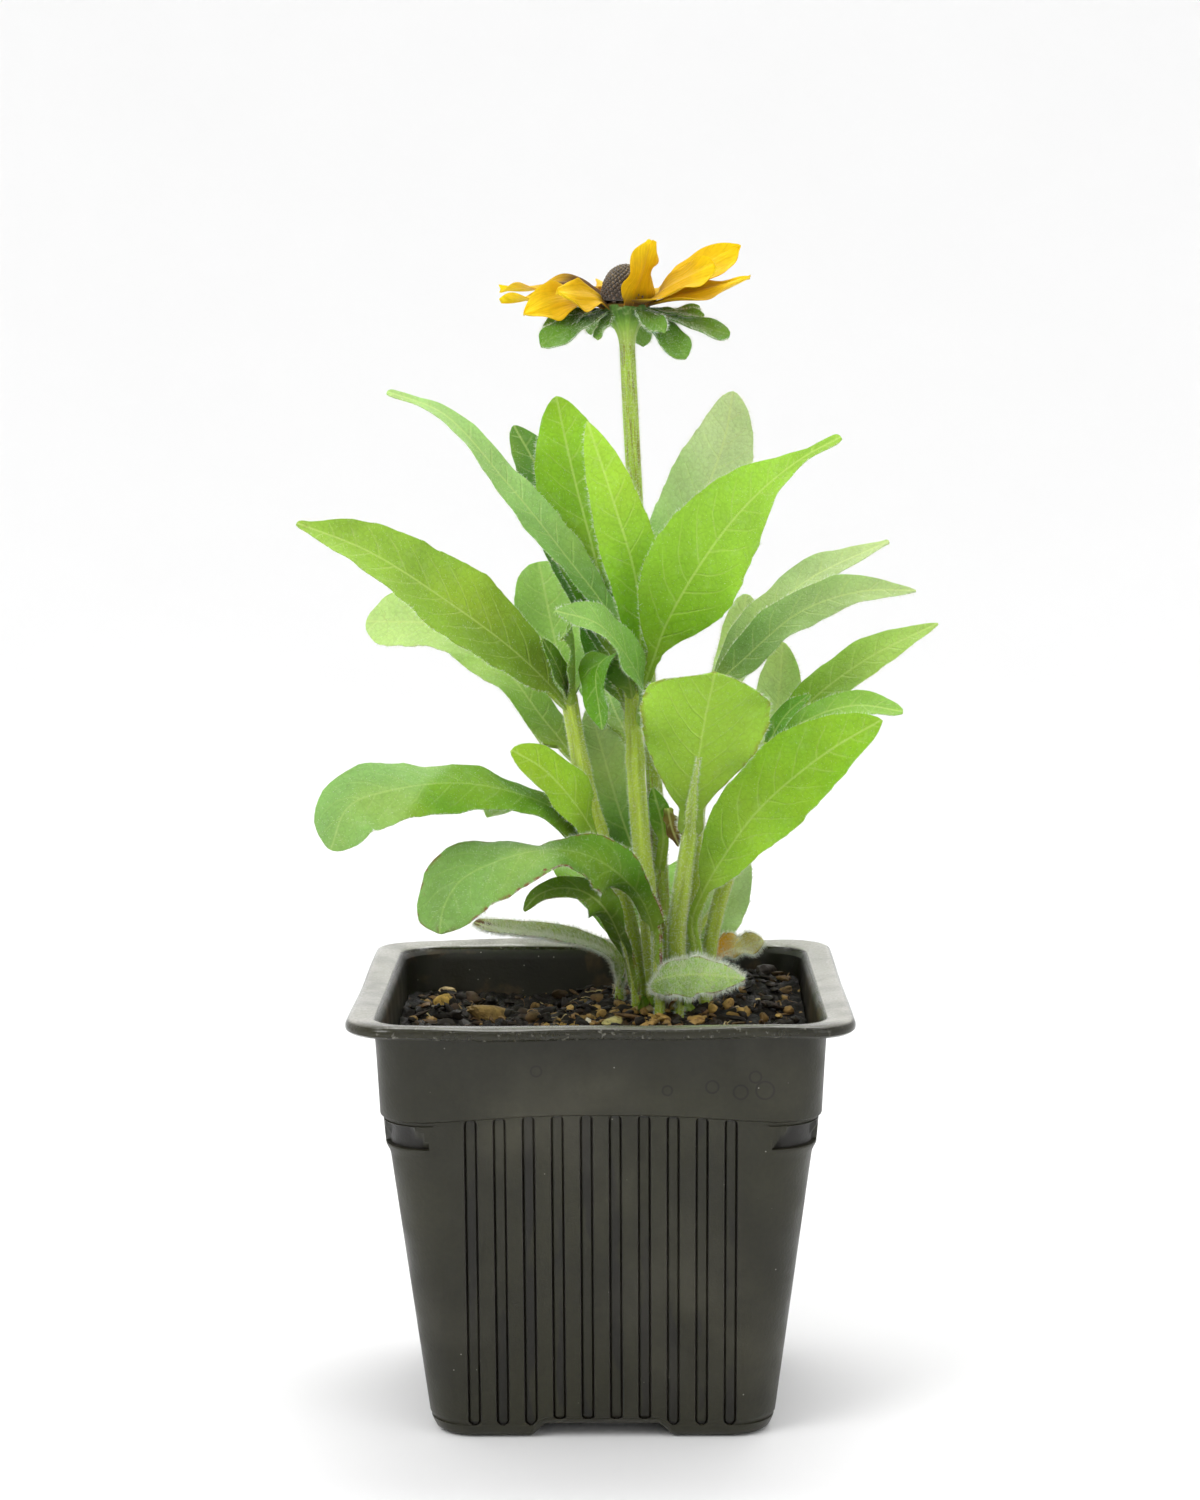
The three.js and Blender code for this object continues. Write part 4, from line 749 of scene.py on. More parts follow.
MIDDLE_STEM = dict(knots=[[12.5, 7, FOOT_Z], [12.5, 7, SHOULDER_Z], [10.2, 6, 119], [8.2, 6, 143],
                          [7.5, 6, 165]],
                   foot=2.3, top=2, tones=STEM_TONES, joints=(0.47, 0.8, 0.9))
MIDDLE_LEAVES = [
    # the long narrow leaf that rises to the upper left
    dict(mid=[[7, 6, 162], [2.5, 8, 180], [-8.5, 10, 195.4], [-22, 12, 212.2], [-36.5, 13, 228],
              [-49.5, 14, 233.2]], half=5.5, face=[(0.5, -0.6, 0.6), (0.4, -0.6, 0.7)], tip=1.1,
         widest=0.42, end=0.24, tones=[(126, 180, 98), (172, 208, 160)]),
    # the broad upright leaf at the top of the shoot; the dark tone at its foot is painted shade
    dict(mid=[[7, 7, 162], [2.5, 10, 178], [-1.5, 17, 195], [-6.5, 24, 214], [-10.5, 30, 232]], half=9.6,
         face=UPRIGHT, tip=0.66, widest=0.58, tones=[(70, 128, 22), (150, 200, 56)]),
    dict(mid=[[6.5, 7, 160], [-3.5, 20, 186], [-13, 32, 210.5], [-21, 40, 225]], half=6.6,
         face=[(0.3, -1, 0.2), (0.3, -1, 0.2)], tip=0.6, widest=0.6, tones=[(64, 116, 30), (96, 146, 66)]),
    dict(mid=[[8, 5, 163], [9.2, 2, 178], [8, -1, 191], [3, -4, 208.5], [-2.8, -4, 226.5]], half=6.6,
         face=[(0.1, -1, 0.2), (0.2, -1, 0.2)], widest=0.5, tones=[(136, 196, 40), (170, 214, 82)]),
    # the broad leaf at the upper right with a long narrow tip
    dict(mid=[[9, 5, 163], [12, 1, 172], [15, -3, 180], [21.5, -9, 192], [29.5, -14, 203.5],
              [37.5, -18, 212], [45.6, -22, 218.4], [53.6, -24, 222.8]], half=11.4,
         face=[(0.4, -0.9, 0.3), (0, -0.6, 0.8)], tip=1.6, widest=0.4, petiole=0.12, end=0.15,
         tones=[(140, 190, 44), (160, 204, 84)]),
    # the arching leaf in front
    dict(mid=[[9, 5, 156], [9.5, -3, 165], [6, -9, 173], [-0.5, -16, 181], [-10, -22, 184.5]], half=6.8,
         face=[(0.5, -0.5, 0.7), (0.4, -0.6, 0.7)], tones=[(118, 170, 74), (150, 192, 124)]),
    # leaves inside the shoot, their dark tones painted shade from the leaves round them
    dict(mid=[[7, 7, 158], [1.5, 17, 174], [-1, 22, 195]], half=6, face=[(0, -1, 0.3), (0, -1, 0.2)],
         tones=[(64, 118, 16), (86, 144, 26)]),
    dict(mid=[[7.5, 5, 162], [3.5, 0, 172.5], [-0.5, -3, 170], [0.5, -4, 156]], half=6,
         face=[(-0.3, 0, 1), (-0.9, -0.6, 0.3)], tip=0.6, tones=[(86, 142, 28), (104, 160, 34)]),
    # the leaf seen between the two left stems
    dict(mid=[[9.5, 7, 121], [4.6, 15, 133.5], [0.8, 17, 146.5], [-3, 20, 159.5]], half=7.5, face=UPRIGHT,
         tones=[(92, 150, 26), (186, 210, 166)]),
    # a leaf at the back
    dict(mid=[[7.5, 7, 150], [3, 20, 158], [1, 40, 163], [4, 58, 156]], half=8.6, face=ARCHING, tip=0.7,
         widest=0.5, tones=[(125, 175, 60), (140, 188, 90)]),
]

FRONT_STEM = dict(knots=[[18, 8, FOOT_Z], [18, 8, SHOULDER_Z], [17.5, 6, 107], [19, 3, 120],
                         [20.5, 0.6, 131],
                         [21, -5.4, 140], [22.3, -10.8, 150.5]],
                  foot=2.3, top=1.8, taper=0.66, tones=[(160, 175, 75), (176, 204, 86)])
FRONT_LEAVES = [
    # the broad leaf seen from below in the middle of the plant
    dict(mid=[[20.5, 1, 130], [21, -5, 140], [22.5, -11, 152], [24, -17, 162], [25.2, -22.5, 168.4],
              [25.6, -25, 171]], half=15, face=[(0, 0.8, 0.5), (0, 0.5, 0.8)], tip=0.5, widest=0.7,
         petiole=0.09, fold=0.06, rust=0.5, stalk_width=2.3, channel=0.0, round=0.8,
         tones=[(140, 186, 40), (164, 208, 70)]),
]

RIGHT_STEM = dict(knots=[[21, 20, FOOT_Z], [21, 20, SHOULDER_Z], [22, 18, 113], [23, 16, 142],
                         [24, 14, 161]],
                  foot=2, top=1.6, tones=STEM_TONES, joints=(0.7,))
RIGHT_LEAVES = [
    # two silvery narrow leaves at the right
    dict(mid=[[24, 14, 158], [28, 18, 165.8], [35.2, 22, 175.2], [48, 26, 187.4], [68.5, 28, 197.4]],
         half=6, face=[(-0.4, -0.6, 0.7), (-0.2, -0.5, 0.8)], widest=0.5, end=0.15,
         tones=[(146, 178, 130), (188, 208, 180)]),
    dict(mid=[[24, 14, 158], [27.5, 12, 164.5], [34.5, 11, 171.6], [46.5, 9, 181.8], [60, 7, 186.6],
              [73, 6, 187]], half=6.2, face=[(-0.4, -0.6, 0.7), (-0.1, -0.7, 0.7)], widest=0.42,
         tones=[(126, 170, 105), (180, 204, 165)]),
    # leaves behind them
    dict(mid=[[24, 15, 156], [32.3, 34, 170], [35.2, 42, 184]], half=4.8, face=RISING, tip=0.5, widest=0.6,
         tones=[(198, 224, 175), (212, 234, 196)]),
    dict(mid=[[23, 17, 137], [33, 34, 149], [43, 50, 151], [50, 62, 144]], half=8,
         face=[(0, -0.3, 1), (0.3, 0.5, 0.9)], widest=0.5, tones=[(125, 175, 62), (140, 188, 92)]),
]

OUTER_STEM = dict(knots=[[24.5, 13.5, FOOT_Z], [24.5, 13.5, SHOULDER_Z], [26.5, 13, 108], [31, 12, 124],
                         [37, 11, 139], [39.5, 10, 151]],
                  foot=1.9, top=1.6, tones=STEM_TONES, joints=(0.85,))
OUTER_LEAVES = [
    dict(mid=[[38, 11, 147.5], [48.5, 18, 159.2], [63, 23, 169.6], [80, 25, 178]], half=5.4,
         face=[(-0.3, -0.8, 0.5), (-0.2, -0.7, 0.7)], widest=0.48, tones=[(142, 190, 46), (178, 210, 130)]),
    dict(mid=[[38, 10, 148], [47.5, 4, 156.8], [58.5, 0, 160.8], [69.5, -2, 159.6]], half=4.2,
         face=[(-0.2, -0.7, 0.7), (0, -0.6, 0.8)], tip=0.5, widest=0.6,
         tones=[(128, 178, 74), (150, 196, 104)]),
    dict(mid=[[36.5, 12, 141], [42, 29, 158], [43.6, 34, 173]], half=6.2, face=RISING, tip=0.6,
         tones=[(196, 222, 170), (210, 232, 190)]),
    dict(mid=[[38, 11, 148], [43, 12, 157], [49, 12, 162.5]], half=3,
         face=[(-0.5, -0.6, 0.6), (-0.5, -0.6, 0.6)], tones=[(100, 158, 54), (116, 170, 70)]),
]

BASAL_LEAVES = {
    # The left basal leaf's tones turn from a dark green, painted shade on its rising part, to a pale green,
    # painted light on the end that hangs towards the front.
    "basal_leaf_left": dict(
        foot=[13.5, 1], mid=[[13.5, 1, 92], [12.7, 1, 101], [12.4, 0, 108.7], [9.4, -3, 116.7],
                             [2.5, -9, 124.4], [-5.6, -14, 128.9], [-14.8, -18, 129.7], [-24.4, -22, 127.6],
                             [-31.5, -25, 124], [-35, -27, 118.4], [-35.9, -28.5, 112.8]], half=11,
        face=[(-0.5, -0.6, 0.5), (-0.6, -0.75, 0.35), (-0.3, -0.7, 0.7), (0, -0.1, 1), (-0.4, -0.7, 0.6),
              (-0.6, -0.75, 0.3)], face_at=[0, 0.34, 0.48, 0.6, 0.8, 1], tip=0.36, widest=0.72, petiole=0.2,
        end=0.3, fold=-0.1, vein=0.5, burn=1.04, wave=0.04, rust=1.0, blend=(0.56, 0.62), slant=0.03,
        tones=[(88, 136, 28), (124, 164, 100)]),
    "basal_leaf_narrow": dict(
        foot=[8, 6], mid=[[8, 6, 92], [7.2, 4.6, 98], [4.8, 1, 106], [1, -4.5, 114.4], [-4, -8, 118.8],
                          [-9.5, -11, 120.2], [-14.5, -13, 118.8], [-17.6, -14, 115.6]], half=4.3,
        face=[(-0.6, -0.6, 0.4), (-0.5, -0.7, 0.5), (-0.2, -0.5, 0.85)], petiole=0.16, stalk_width=1.3,
        rust=0.5, fold=0.12, wave=0.05, widest=0.5, tip=0.6, tones=[(84, 118, 34), (108, 150, 48)]),
    "basal_leaf_rim": dict(
        foot=[4, 18], mid=[[4, 18, 91.5], [4.6, 17.8, 95], [3.2, 18, 99], [-2.5, 18.9, 102],
                           [-12.5, 21, 104], [-20, 22.6, 104.7], [-27, 24.4, 105.2], [-31, 26, 106.2]],
        half=2.9, face=[(-0.4, -0.3, 0.9), (0.1, -0.5, 0.9)], tip=0.3, widest=0.5, petiole=0.14, rust=0.6,
        end=0.4, fold=0.42, wave=0.05, burn=0.94, tones=[(140, 165, 90), (182, 196, 160)]),
    "basal_leaf_low": dict(
        foot=[18, 1.5], mid=[[18, 1.5, 91.5], [15.6, 0.8, 93.8], [12.4, -0.8, 95.6], [12.4, -3, 97],
                             [16.4, -4.8, 98.6], [24, -7, 99.4], [33, -9.4, 98.8]], half=4.9,
        face=[(-0.5, -0.6, 0.7), (-0.2, -0.85, 0.55), (0, -0.85, 0.6)], petiole=0.24, rust=1.0, fold=-0.25,
        wave=0.14, turns=4.5, teeth=0.06, widest=0.45, tip=0.85, tones=[(146, 184, 96), (176, 208, 142)]),
    "basal_leaf_pale": dict(
        foot=[19.5, 26], mid=[[19.5, 26, 92], [23, 30, 102.5], [28.5, 35, 111], [34.5, 40, 121]], half=8.4,
        face=[(-0.2, -1, 0.4), (-0.2, -1, 0.3)], tip=0.6, widest=0.4,
        tones=[(138, 186, 86), (206, 228, 205)]),
    "basal_leaf_right": dict(
        foot=[24, 7.5], mid=[[24, 7.5, 92], [22.4, 8.4, 102], [21.4, 8.6, 109], [23.8, 6.8, 116],
                             [30, 3, 127.6], [37.4, 1, 137.5], [51.8, -4, 150.4], [64.2, -8, 158.4]],
        half=10.2, face=[(-0.3, -0.9, 0.3), (-0.2, -0.8, 0.5)], petiole=0.3, widest=0.52, tip=0.7,
        tones=[(158, 200, 84), (140, 188, 48)]),
    "basal_leaf_back_left": dict(
        foot=[10, 22], mid=[[10, 22, 92], [6, 30, 102], [-3, 43, 114], [-13, 57, 117], [-21, 68, 109]],
        half=8.2, face=[(-0.2, -0.4, 0.9), (-0.2, 0.6, 0.8)], petiole=0.16,
        tones=[(120, 170, 58), (138, 184, 86)]),
    "basal_leaf_back_right": dict(
        foot=[15, 27], mid=[[15, 27, 92], [17, 36, 104], [22, 52, 113], [28, 66, 111], [32, 75, 102]],
        half=8, face=[(0, -0.5, 0.9), (0.2, 0.6, 0.8)], petiole=0.16,
        tones=[(120, 170, 58), (138, 184, 86)]),
}

DEAD_LEAF = dict(
    foot=[28, 19], mid=[[28, 19, 91.5], [27.2, 19.4, 95], [27.6, 20, 98.4], [30.6, 21.6, 100],
                        [34.6, 23.2, 100.6],
                        [38.6, 24.6, 102]], half=3.3, face=[(-0.5, -0.6, 0.6), (0, -0.8, 0.6)], fold=0.55,
                        wave=0.4,
    turns=3.2, teeth=0.16, petiole=0.22, widest=0.5, tip=0.5, end=0.3, row=0.5, rust=1.0, blend=(0.5, 0.66),
    tones=[(216, 160, 50), (206, 192, 140)])

FLOWER_KNOTS = [[15, 17, FOOT_Z], [15, 17, SHOULDER_Z], [14, 16, 113], [12.5, 15.5, 140], [10.5, 14, 173],
                [7.9, 11, 213], [6.2, 8, 248]]
FLOWER_LEAVES = [
    dict(mid=[[10, 14, 175], [16.4, 22, 191], [24, 30, 207], [29.6, 36, 221.5], [31.8, 40, 233]], half=9.6,
         face=UPRIGHT, tip=0.62, widest=0.5, petiole=0.05, tones=[(138, 188, 104), (212, 228, 212)]),
    dict(mid=[[13.5, 15, 120], [14.5, 11, 130], [12, 9, 141]], half=2.7, face=UPRIGHT, petiole=0.4,
         tones=[(150, 185, 80), (106, 160, 50)]),
    dict(mid=[[11, 15, 146], [10, 28, 153], [8, 46, 156], [5, 61, 151]], half=7.4,
         face=[(0, -0.3, 1), (0, 0.3, 1)], tones=[(125, 175, 60), (140, 188, 90)]),
]


def grown(name, stalks, leaves, replaced, surface=1.0, margin=5.5, hair=0.95, nap=0.5,
          stem_hair=4.6):
    """A shoot with its leaves as one piece, and its hairs as another."""
    forms = [s.form() for s in stalks] + [b.form() for b in leaves]
    make_piece(name, forms, [LEAF, STEM], [replaced])
    hairs = [s.hairs(stem_hair, hair * 0.7) for s in stalks]
    hairs += [b.hairs(surface, margin, hair, nap) for b in leaves]
    make_piece(name + "_hairs", hairs, [HAIR])


def blades(shapes, seed):
    return [Blade(s, seed + i) for i, s in enumerate(shapes)]


grown("left_stem_and_leaves", [Stalk(**LEFT_STEM, seed=11)], blades(LEFT_LEAVES, 100), "left_shoot")
grown("middle_stem_and_leaves", [Stalk(**MIDDLE_STEM, seed=12)], blades(MIDDLE_LEAVES, 120), "middle_shoot")
grown("front_stem_and_leaf", [Stalk(**FRONT_STEM, seed=13)], blades(FRONT_LEAVES, 140), "front_shoot",
      surface=1.4, margin=9.0)
grown("right_stem_and_leaves", [Stalk(**RIGHT_STEM, seed=14)], blades(RIGHT_LEAVES, 150), "right_shoot",
      surface=2.2, margin=8.0)
grown("outer_stem_and_leaves", [Stalk(**OUTER_STEM, seed=15)], blades(OUTER_LEAVES, 160),
      "outer_right_shoot")


def foot_stalk(shape, tones, seed):
    """The round foot of a leaf that rises from the soil. It runs on inside the leaf's petiole."""
    at, mid = shape["foot"], shape["mid"]
    return Stalk([[*at, FOOT_Z], [*at, 88], mid[0], mid[1], mid[2]], 1.6, 0.5, tones, seed)


HAIRY = {"basal_leaf_low": (18.0, 34.0, 1.7, 0.8), "basal_leaf_rim": (20.0, 30.0, 1.6, 0.8),
         "basal_leaf_left": (1.4, 8.0, 1.0, 0.5)}
for i, (key, shape) in enumerate(BASAL_LEAVES.items()):
    surface, margin, hair, nap = HAIRY.get(key, (1.0, 5.0, 0.9, 0.5))
    grown(key + "_blade", [foot_stalk(shape, STEM_TONES, 30 + i)], [Blade(shape, 200 + i)], key,
          surface, margin, hair, nap)
grown("dead_leaf_blade", [foot_stalk(DEAD_LEAF, [(140, 120, 60), (150, 125, 70)], 40)],
      [Blade(DEAD_LEAF, 220)],
      "dead_leaf", 16.0, 34.0, 1.4, 0.8)


SPROUTS = [
    dict(mid=[[10, 5, 88.5], [9.4, 3, 91], [9.0, 1, 93]], half=1.5, tones=[(140, 180, 60), (120, 170, 50)]),
    dict(mid=[[13, 4.5, 89], [13, 2.5, 92], [13.6, 0.5, 94.5]], half=1.7,
         tones=[(150, 185, 70), (104, 150, 40)]),
    dict(mid=[[16, 4, 89], [16, 2, 91], [17, -0.5, 92.4]], half=1.5,
         tones=[(170, 150, 80), (150, 110, 60)]),
    dict(mid=[[20.5, 4, 89], [19.5, 2, 91.5], [18.6, 0, 93.4]], half=1.4,
         tones=[(150, 185, 70), (120, 165, 50)]),
    dict(mid=[[15, 22, 89], [15.5, 24, 93], [16, 27, 96]], half=1.7,
         tones=[(150, 185, 70), (120, 165, 50)]),
]
WITHERED = dict(mid=[[15.4, 8.4, 136], [16.4, 6.4, 131.5], [18, 5.6, 127.5]], half=1.9, fold=0.6, wave=0.5,
                rust=1.0,
                face=[(0.2, -1, 0.1), (0.5, -0.8, -0.3)], tones=[(120, 110, 40), (96, 66, 30)])
sprouts = [Blade(dict(s, face=[(0, -1, 0.5), (0, -0.8, 0.7)], petiole=0.08, row=0.6, rust=0.8), 400 + i)
           for i, s in enumerate(SPROUTS)]
withered = Blade(dict(WITHERED, petiole=0.05, row=0.5), 410)
make_piece("crown_sprouts", [b.form() for b in sprouts + [withered]]
           + [b.hairs(4.0, 6.0, 0.8) for b in sprouts], [LEAF])


# Flower head

HEAD = np.array([6.0, 8.0, 252.0])
PETAL_START = 4.9
BRACT_START = 3.6
BRACT_LIFT = 1.1
PEG_RADIUS = 2.2

PETALS = [
    # direction, half width, then the run outwards, the height and, where it leans, the way aside
    dict(turn=12, half=5.2, run=[[0, 0.6], [6, 2.2], [16, 4.4], [24.8, 7.4]], roll=-0.7, end=0.08, tip=0.9),
    dict(turn=28, half=6.2, run=[[0, 1.0], [6, 4.4], [16, 9.2], [25.6, 14.8]], roll=-0.8, end=0.1,
         tip=1.15),
    dict(turn=-22, foot=0.9, widest=0.38, half=6.6, run=[[0, 1.0], [4, 3.4], [10, 6.2], [17.4, 9.4]],
         roll=-1.8, end=0.2, tip=0.5),
    dict(turn=-52, half=6.2, run=[[0, 0.4, -0.4], [1.2, 5.2, -0.2], [2.6, 10, 0.4], [3.4, 15.4, 1.4]],
         roll=-0.6, end=0.3, tip=0.66, curl=1.3, widest=0.42),
    dict(turn=-151, half=4.6, run=[[0, 1.0], [3, 2.4], [7, 2.6], [12.8, 3.4]], roll=0.9, tip=0.6,
         foot_roll=0.9),
    dict(turn=-170, half=5.0, run=[[0, 0.9], [6, 1.9], [12, 1.3], [18.8, -1.4]], roll=0.7, end=0.15,
         tip=0.7, curl=1.5, foot_roll=0.6),
    dict(turn=172, half=4.4, run=[[0, 0.9], [7, 2.6], [16, 2.6], [24.5, 2.1]], roll=0.3, tip=1.1, brown=0.6,
         foot_roll=0.3),
    dict(turn=152, half=4.6, run=[[0, 1.2], [5, 4.4], [12, 5.8], [20, 5.2], [28.6, 4.9]], roll=0.2, tip=1.2,
         brown=0.66, foot_roll=0.4),
    dict(turn=122, half=5, run=[[0, 0.7], [5, 2.6], [11, 4], [19, 4.4]], roll=0.1),
    dict(turn=96, half=5.2, run=[[0, 1.3], [7, 4.4], [15, 6], [22, 5.4]], roll=-0.1),
    dict(turn=72, half=5.2, run=[[0, 0.7], [7, 2.2], [15, 3.6], [23, 4.6]], roll=0.1),
    dict(turn=50, half=4.8, run=[[0, 1.3], [7, 3.8], [16, 6.6], [24, 9.6]], roll=0.1),
]

BRACTS = [
    dict(turn=-157, half=4, run=[[0, -1.6], [8, -3.8], [17.4, -8.4]], roll=0.9, end=0.3),
    dict(turn=-174, half=3.2, run=[[0, -1.2], [8, -1.8], [15.6, -5]], roll=0.9),
    dict(turn=-140, half=2, run=[[0, -1.6], [2.6, -4], [5.2, -6.9]], roll=0),
    dict(turn=-48, half=2.6, run=[[0, -1.4], [5, -3], [9.6, -5.5]], roll=-0.6),
    dict(turn=-24, half=3.8, run=[[0, -1.8], [6, -5.6], [11.8, -11.2]], roll=-0.9, end=0.4),
    dict(turn=-3, half=3.6, run=[[0, -1.2], [9, -3], [20.4, -6.3]], roll=-0.8),
    dict(turn=14, half=2.6, run=[[0, -1], [8, -1.2], [15.2, -1.7]], roll=-0.6),
    dict(turn=36, half=2.6, run=[[0, -1.2], [8, -0.8], [17.9, 0.3]], roll=-0.3),
    dict(turn=68, half=2.6, run=[[0, -1.4], [5, -4], [8, -8.4]], roll=0),
    dict(turn=96, half=2.8, run=[[0, -1.2], [7, -2], [13, -4]], roll=0),
    dict(turn=122, half=2.6, run=[[0, -1.4], [6, -2.8], [12, -5.4]], roll=0.2),
    dict(turn=148, half=2.8, run=[[0, -1.2], [7, -2], [13, -4.4]], roll=0.3),
    dict(turn=168, half=2.5, run=[[0, -1.6], [6, -3.2], [12, -6.6]], roll=0.4),
]


def spread(row, start, inward):
    """The middle line and the faces of a petal or bract that leaves the head in its direction."""
    angle = math.radians(row["turn"])
    out = np.array([math.cos(angle), math.sin(angle)])
    mid = []
    for run, up, *rest in row["run"]:
        aside = rest[0] if rest else 0
        far = start + run
        mid.append(HEAD + [far * out[0] - aside * out[1], far * out[1] + aside * out[0], up])

    def face(roll):
        return (-out[0] * inward - out[1] * roll, -out[1] * inward + out[0] * roll, 1)

    return mid, [face(row.get("foot_roll", 0)), face(row["roll"])]


class Petal(Blade):
    """A ray petal: long pleats, a brown foot and a notched, brighter end."""

    def teeth(self, c, t):
        return 1 + 0.06 * np.sin(9 * t + self.phases[0] + c) + 0.04 * np.sin(23 * t + self.phases[1] - 2 * c)

    def rise(self, c, t, half, lower):
        pleat = 0.3 * np.cos(c * 2 * math.pi) * np.minimum(1, t * 3)
        fine = 0.07 * np.cos(c * 6 * math.pi + self.phases[2]) * np.minimum(1, t * 4)
        curl = 1.3 * np.sin(t * 7 + self.phases[3]) * c * t
        curl = curl + 0.8 * np.sin(t * 13 + self.phases[4]) * c * np.abs(c) * t
        return half * 0.1 * c * c + pleat + fine + curl * self.shape["curl"]

    def thick(self, c, t, half):
        return 0.42 - 0.2 * np.abs(c) ** 3

    def point(self, c, t, lower):
        c, t, lower = np.broadcast_arrays(*(np.asarray(x, float) for x in (c, t, lower)))
        notch = 0.035 * np.exp(-(c / 0.22) ** 2) + 0.02 * np.exp(-((np.abs(c) - 0.6) / 0.2) ** 2)
        return super().point(c, t * (1 - notch * smooth(0.8, 1, t)), lower)

    def tones(self, c, t):
        lift = self.shape["lift"]
        body, foot, end = paint(212, 168, 4) * lift, paint(84, 54, 10), paint(236, 202, 16)
        brown = self.shape["brown"]
        shade = smooth(brown - 0.27, brown, t + 0.05 * np.abs(c))[..., None]
        t = t[..., None]
        tone = body * (1 - smooth(0.55, 1, t)) + end * smooth(0.55, 1, t)
        return foot * (1 - shade) + tone * shade


class Bract(Blade):
    """A narrow green bract with a soft, thick blade."""

    def teeth(self, c, t):
        return 1 + 0.04 * np.sin(13 * t + self.phases[0] + c)

    def rise(self, c, t, half, lower):
        ripple = 0.35 * np.sin(t * 9 + self.phases[1]) * c + 0.25 * np.sin(t * 17 + self.phases[2]) * c * c
        return half * 0.22 * np.abs(c) ** 1.4 + ripple * smooth(0.2, 0.5, t)

    def thick(self, c, t, half):
        return 0.7 - 0.25 * c * c + 0.4 * np.exp(-(c * half / 0.7) ** 2) * (1 - t)

    def tones(self, c, t):
        dark, light = paint(62, 108, 14), paint(104, 150, 48)
        return dark * (1 - smooth(0.2, 1, t)[..., None]) + light * smooth(0.2, 1, t)[..., None]


def turned(outline, sides, look, tone, ribs=0, relief=0.0, axis=None):
    """A closed turned form from pairs of radius and height, on the head's axis or on a line up to it."""
    angle = circle(sides)
    rings = []
    for radius, z in outline:
        r = radius * (1 + relief * smooth(-8, -4, z) * np.cos(ribs * angle))
        x, y = HEAD[:2]
        if axis is not None:
            x, y = (np.interp(HEAD[2] + z, axis[:, 2], axis[:, k]) for k in (0, 1))
        x, y = x + r * np.cos(angle), y + r * np.sin(angle)
        rings.append(np.stack([x, y, np.full(sides, HEAD[2] + z)], -1))
    rings = np.array(rings)
    tone = np.array([paint(*t) for t in (tone if isinstance(tone, list) else [tone] * len(outline))])
    tones = np.broadcast_to(tone[:, None], rings.shape)
    side = np.broadcast_to(angle * 4, rings.shape[:2])
    return tube(rings, look, tone=tones, side=side, run=rings[..., 2] - HEAD[2],
                rust=np.full(rings.shape[:2], 0.1))


petal_lift = np.random.default_rng(5).uniform(0.9, 1.08, len(PETALS))
petals = []
for i, row in enumerate(PETALS):
    mid, face = spread(row, PETAL_START, 0.9)
    petals.append(Petal(dict(mid=mid, face=face, half=row["half"], petiole=0,
                             stalk_width=row["half"] * row.get("foot", 0.45),
                             tip=row.get("tip", 0.6), widest=row.get("widest", 0.55),
                             curl=row.get("curl", 1.0),
                             brown=row.get("brown", 0.3),
                             end=row.get("end", 0.04), row=0.7, lift=petal_lift[i]), 300 + i))
ring = turned([[2.5, 0.1], [5.0, 0.1], [5.3, 0.4], [5.1, 1.0], [2.5, 1.2]], 40, 0,
              [(80, 92, 22)] * 2 + [(96, 70, 16)] * 3)
make_piece("ray_petals", [p.form() for p in petals] + [ring], [PETAL], ["petals"])

bracts = []
for i, row in enumerate(BRACTS):
    mid, face = spread(row, BRACT_START, 0)
    mid[0] = mid[0] + [0, 0, BRACT_LIFT]
    bracts.append(Bract(dict(mid=mid, face=face, half=row["half"], petiole=0, tip=0.5, widest=0.6,
                             end=row.get("end", 0.04), row=0.7, rust=0.1, vein=0.25), 330 + i))

peg = turned([[PEG_RADIUS, -2], [PEG_RADIUS, 3.2], [PEG_RADIUS - 0.5, 3.8]], 24, 1, (90, 80, 40))
flower_stalk = Stalk(FLOWER_KNOTS, 2.0, 1.75, [(150, 172, 66), (176, 204, 92)], 16, ribs=8, relief=0.05,
                     rust=0.6)
CUP = [[1.5, -11], [1.72, -9.8], [1.82, -8.4], [2.0, -7], [2.3, -5.8], [2.8, -4.6], [3.4, -3.5],
       [4.1, -2.5], [4.7, -1.6],
       [5.1, -0.8], [5.4, 0], [5.4, 0.6], [5.1, 0.9], [4.6, 0.4]]
CUP_TONES = [(172, 198, 92)] * 4 + [(160, 190, 82), (144, 180, 70), (122, 162, 56), (96, 138, 36)]
CUP_TONES += [(72, 114, 20)] + [(58, 98, 12)] * 5
cup = turned(CUP, 48, 1, CUP_TONES, 9, 0.05, np.vstack([flower_stalk.line.points, HEAD]))
flower_leaves = blades(FLOWER_LEAVES, 180)
make_piece("flower_stem_and_bracts",
           [flower_stalk.form(sides=40), cup, peg] + [b.form() for b in bracts + flower_leaves],
           [LEAF, STEM], ["flower_stem"])
make_piece("flower_stem_and_bracts_hairs",
           [flower_stalk.hairs(6.0, 0.7)] + [b.hairs(8.0, 18.0, 0.8) for b in bracts]
           + [b.hairs(1.6, 7.0, 1.1) for b in flower_leaves], [HAIR])


GOLDEN_ANGLE = 2.399963


